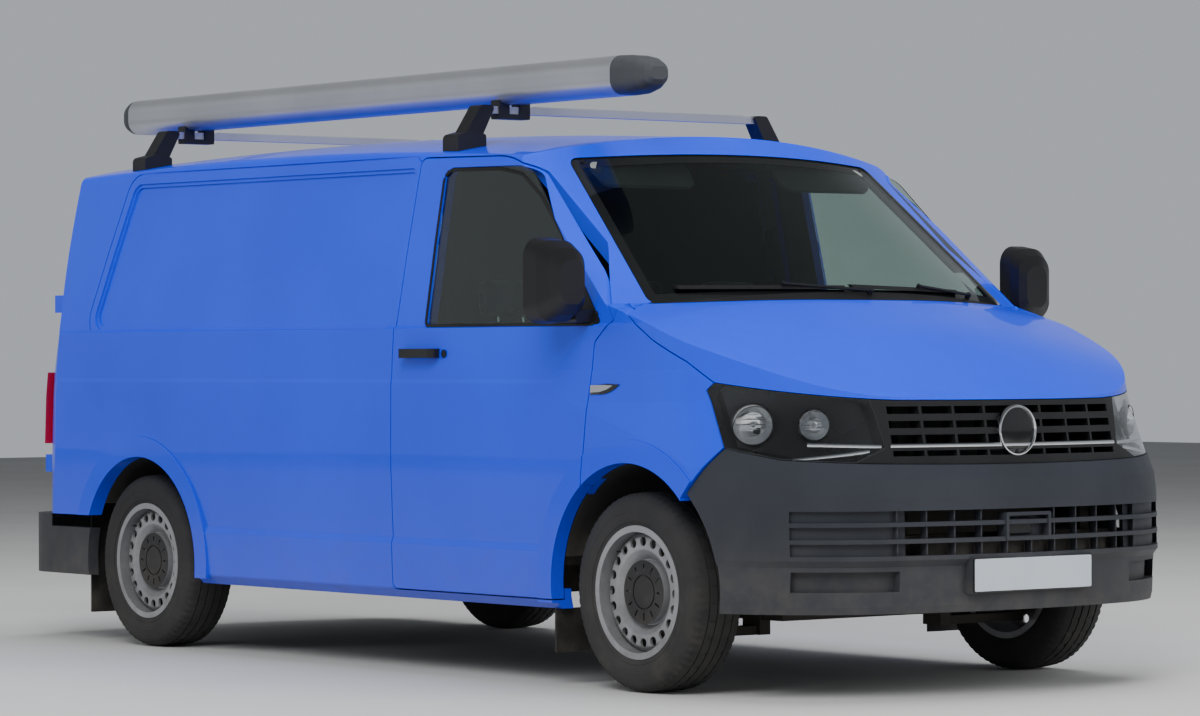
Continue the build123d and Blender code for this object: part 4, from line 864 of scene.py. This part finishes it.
# Padded seats: each cushion, back and head restraint is blown up, with its sewn channels drawn in
def blow_up(ob, cap):
    """Inflates a closed mesh by cloth simulation, with its seams held, and limits how far a point moves."""
    start = [v.co.copy() for v in ob.data.vertices]
    cloth = ob.modifiers.new("Cloth", "CLOTH")
    cloth.settings.quality = 4
    cloth.settings.use_pressure = True
    cloth.settings.uniform_pressure_force = 4
    cloth.settings.effector_weights.gravity = 0
    cloth.settings.vertex_group_mass = "Seams"
    cloth.settings.tension_stiffness = 12
    cloth.settings.compression_stiffness = 12
    cloth.point_cache.frame_end = 20
    for step in range(1, 21):
        bpy.context.scene.frame_set(step)
    bpy.context.view_layer.objects.active = ob
    bpy.ops.object.modifier_apply(modifier="Cloth")
    for v, p in zip(ob.data.vertices, start):
        move = v.co - p
        if move.length > cap:
            v.co = p + move * (cap / move.length)
    bpy.context.scene.frame_set(1)


def pad(name, centre, half, lean, seams, voxel=0.011, cap=0.016):
    """Seams are (axis across the channel, place, half-width, depth, axis of the padded face)."""
    bm = bmesh.new()
    bmesh.ops.create_cube(bm, size=2.0)
    bmesh.ops.scale(bm, vec=half, verts=bm.verts)
    bmesh.ops.bevel(bm, geom=bm.edges[:], offset=min(half) * 0.6, segments=4, profile=0.5, affect="EDGES")
    mesh = bpy.data.meshes.new(name)
    bm.to_mesh(mesh)
    bm.free()
    ob = bpy.data.objects.new(name, mesh)
    bpy.context.collection.objects.link(ob)
    mod = ob.modifiers.new("Remesh", "REMESH")
    mod.mode = "VOXEL"
    mod.voxel_size = voxel
    mesh = bpy.data.meshes.new_from_object(ob.evaluated_get(bpy.context.evaluated_depsgraph_get()))
    ob.modifiers.clear()
    ob.data = mesh
    held = ob.vertex_groups.new(name="Seams")
    for v in mesh.vertices:
        for axis, at, wide, deep, face in seams:
            away = abs(v.co[axis] - at) / wide
            if away < 1 and v.co[face] > half[face] * 0.55:
                v.co[face] -= deep * (1 - away * away)
                if away < 0.6:
                    held.add([v.index], 1.0, "REPLACE")
    blow_up(ob, cap)
    mesh = ob.data
    mesh.transform(Matrix.Translation(centre) @ Matrix.Rotation(lean, 4, "Y"))
    mesh.shade_smooth()
    mesh.materials.clear()
    mesh.materials.append(CLOTH)
    sub = ob.modifiers.new("Smooth", "SUBSURF")
    sub.levels = 1
    sub.render_levels = 1
    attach(ob, "body")
    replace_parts(ob, "seats")


BACK_LEAN = math.radians(-9.3)
CUSHION_LEAN = math.radians(-1.5)
BENCH_SPLIT_Y = 0.295
# Seats: name, their sides' Y, Y of each place's middle
SEATS = (("driver", -0.74, -0.23, (-0.485,)), ("bench", -0.15, 0.74, (0.075, 0.515)))
for word, y0, y1, places in SEATS:
    mid = (y0 + y1) / 2
    wide = (y1 - y0) / 2 - 0.014
    rows = [(1, p - mid + d, 0.016, 0.013) for p in places for d in (-0.140, 0.140)]
    if len(places) > 1:
        rows.append((1, BENCH_SPLIT_Y - mid, 0.020, 0.022))
    top = [row + (2,) for row in rows] + [(0, 0.085, 0.016, 0.012, 2)]
    front = [row + (0,) for row in rows] + [(2, -0.060, 0.016, 0.012, 0), (2, 0.110, 0.016, 0.012, 0)]
    pad(word + "_cushion", (0.622, mid, 0.748), (0.232, wide, 0.050), CUSHION_LEAN, top)
    pad(word + "_back", (0.319, mid, 1.018), (0.056, wide, 0.196), BACK_LEAN, front)
    for i, p in enumerate(places):
        restraint = "%s_head_restraint_%d" % (word, i)
        pad(restraint, (0.288, p, 1.300), (0.040, 0.118, 0.062), BACK_LEAN, [], voxel=0.009, cap=0.010)
        posts = [sweep([(0.300, p + d, 1.215), (0.292, p + d, 1.250)], 0.006, 10) for d in (-0.055, 0.055)]
        add("%s_restraint_posts_%d" % (word, i), *join(*posts), CHROME, "body", "aluminium", 40)


# Rear end: plate on its turned panel, its lights, third stop lamp
def rear_end():
    c, s = math.cos(REAR_PLATE_TURN), math.sin(REAR_PLATE_TURN)
    right, up, out = Vector((s, c, 0)), Vector((0, 0, 1)), Vector((-c, s, 0))

    def slab(t0, t1, half_w, half_h):
        outline = plate_outline(half_w, half_h)
        return loft([[REAR_PLATE_AT + out * t + right * y + up * z for y, z in outline] for t in (t0, t1)])

    add("rear_plate_border", *slab(0.0002, 0.0032, 0.260, 0.0555), GLOSS, "left_rear_door", "black_plastic",
        30)
    add("rear_plate_face", *slab(0.0020, 0.0040, 0.256, 0.0515), REAR_PLATE, "left_rear_door", "lamp_clear",
        30)
    dome = [(0.0, 0.010), (0.003, 0.012), (0.007, 0.010), (0.009, 0.0)]
    lights = [turned(dome, REAR_PLATE_AT + right * y + up * 0.068, out, 16) for y in (-0.12, 0.12)]
    add("rear_plate_lights", *join(*lights), CLEAR, "left_rear_door", "lamp_clear", 40)
    stop = [on_rear(("roof",), -0.14 + 0.02 * k, 1.842) for k in range(15)]
    add("third_stop_lamp", *sweep([p for p in stop if p], 0.010, 10, flat=0.5), RED, "body", "lamp_red", 40)


rear_end()

# Door locks beside the grips
for side, word in SIDES:
    p = on_side(("door_" + word,), 0.535, 1.104, side)
    barrel = [(-0.004, 0.0), (-0.004, 0.014), (side * 0.002, 0.014), (side * 0.004, 0.011), (side * 0.0035,
        0.0)]
    add("door_lock_" + word, *lathe(barrel, tuple(p), 28, "y"), BLACK, word + "_door", "black_plastic", 40)

# Seat belts on the B pillars: Y at the top and at the bottom
BELT_HALF = 0.022
for i, (y0, y1) in enumerate(((-0.760, -0.690), (0.760, 0.700))):
    line = ((0.235, y0, 1.560), (0.250, (y0 + y1) / 2, 1.300), (0.275, y1, 1.000), (0.300, y1, 0.760))
    rings = []
    for x, y, z in line:
        a, b, out = x - BELT_HALF, x + BELT_HALF, y + 0.0012
        rings.append([(a, y, z), (b, y, z), (b, out, z), (a, out, z)])
    add("seat_belt_%d" % i, *loft(rings), RUBBER, "body", "black_plastic", 30)


# Stage and camera
def stage():
    bpy.ops.mesh.primitive_plane_add(size=60, location=(0, 0, -0.0005))
    floor = bpy.context.object
    floor.name = "studio_floor"
    floor.data.materials.append(finish_of("StudioFloor", (0.50, 0.50, 0.49), (0.47, 0.47, 0.465), (0.75,
        0.85), scale=0.6, bump=0.05, bump_scale=60))
    world = bpy.data.worlds.new("Studio")
    world.use_nodes = True
    nt = world.node_tree
    bg = nt.nodes["Background"]
    xyz = nt.nodes.new("ShaderNodeSeparateXYZ")
    nt.links.new(nt.nodes.new("ShaderNodeTexCoord").outputs["Generated"], xyz.inputs[0])
    nt.links.new(spread(nt, xyz.outputs[2], 0.25, 0.62, 0.52, 0.14), bg.inputs[1])
    bg.inputs[0].default_value = (0.82, 0.86, 0.92, 1)
    bpy.context.scene.world = world
    for name, place, target, size, power in (
        ("key", (7.5, -8.5, 9.0), (0.5, 0, 0.9), 7.0, 1700),
        ("fill", (-7.0, -10.0, 6.0), (-0.8, 0, 0.9), 7.0, 420),
        ("top", (0.5, 2.0, 11.0), (0.5, 0, 1.0), 9.0, 1300),
        ("front", (11.0, 4.0, 5.0), (1.5, 0, 0.8), 6.0, 650),
    ):
        light = bpy.data.lights.new(name, "AREA")
        light.energy = power
        light.size = size
        ob = bpy.data.objects.new(name, light)
        bpy.context.collection.objects.link(ob)
        ob.location = place
        ob.rotation_euler = (Vector(target) - Vector(place)).to_track_quat("-Z", "Y").to_euler()
        ob.visible_glossy = False
        ob.visible_transmission = False


def camera():
    az, el, roll = math.radians(52.2), math.radians(-0.03), math.radians(0.21)
    back = Vector((math.sin(az) * math.cos(el), -math.cos(az) * math.cos(el), math.sin(el)))
    right = Vector((math.cos(az), math.sin(az), 0))
    up = back.cross(right)
    cam = bpy.data.cameras.new("Camera")
    cam.sensor_width = 36
    cam.lens = 128.4
    cam.clip_end = 200
    cam.dof.use_dof = False
    ob = bpy.data.objects.new("Camera", cam)
    bpy.context.collection.objects.link(ob)
    turn = Matrix((right, up, back)).transposed().to_4x4() @ Matrix.Rotation(-roll, 4, "Z")
    ob.matrix_world = Matrix.Translation((12.444, -9.509, 1.080)) @ turn
    bpy.context.scene.camera = ob


stage()
camera()
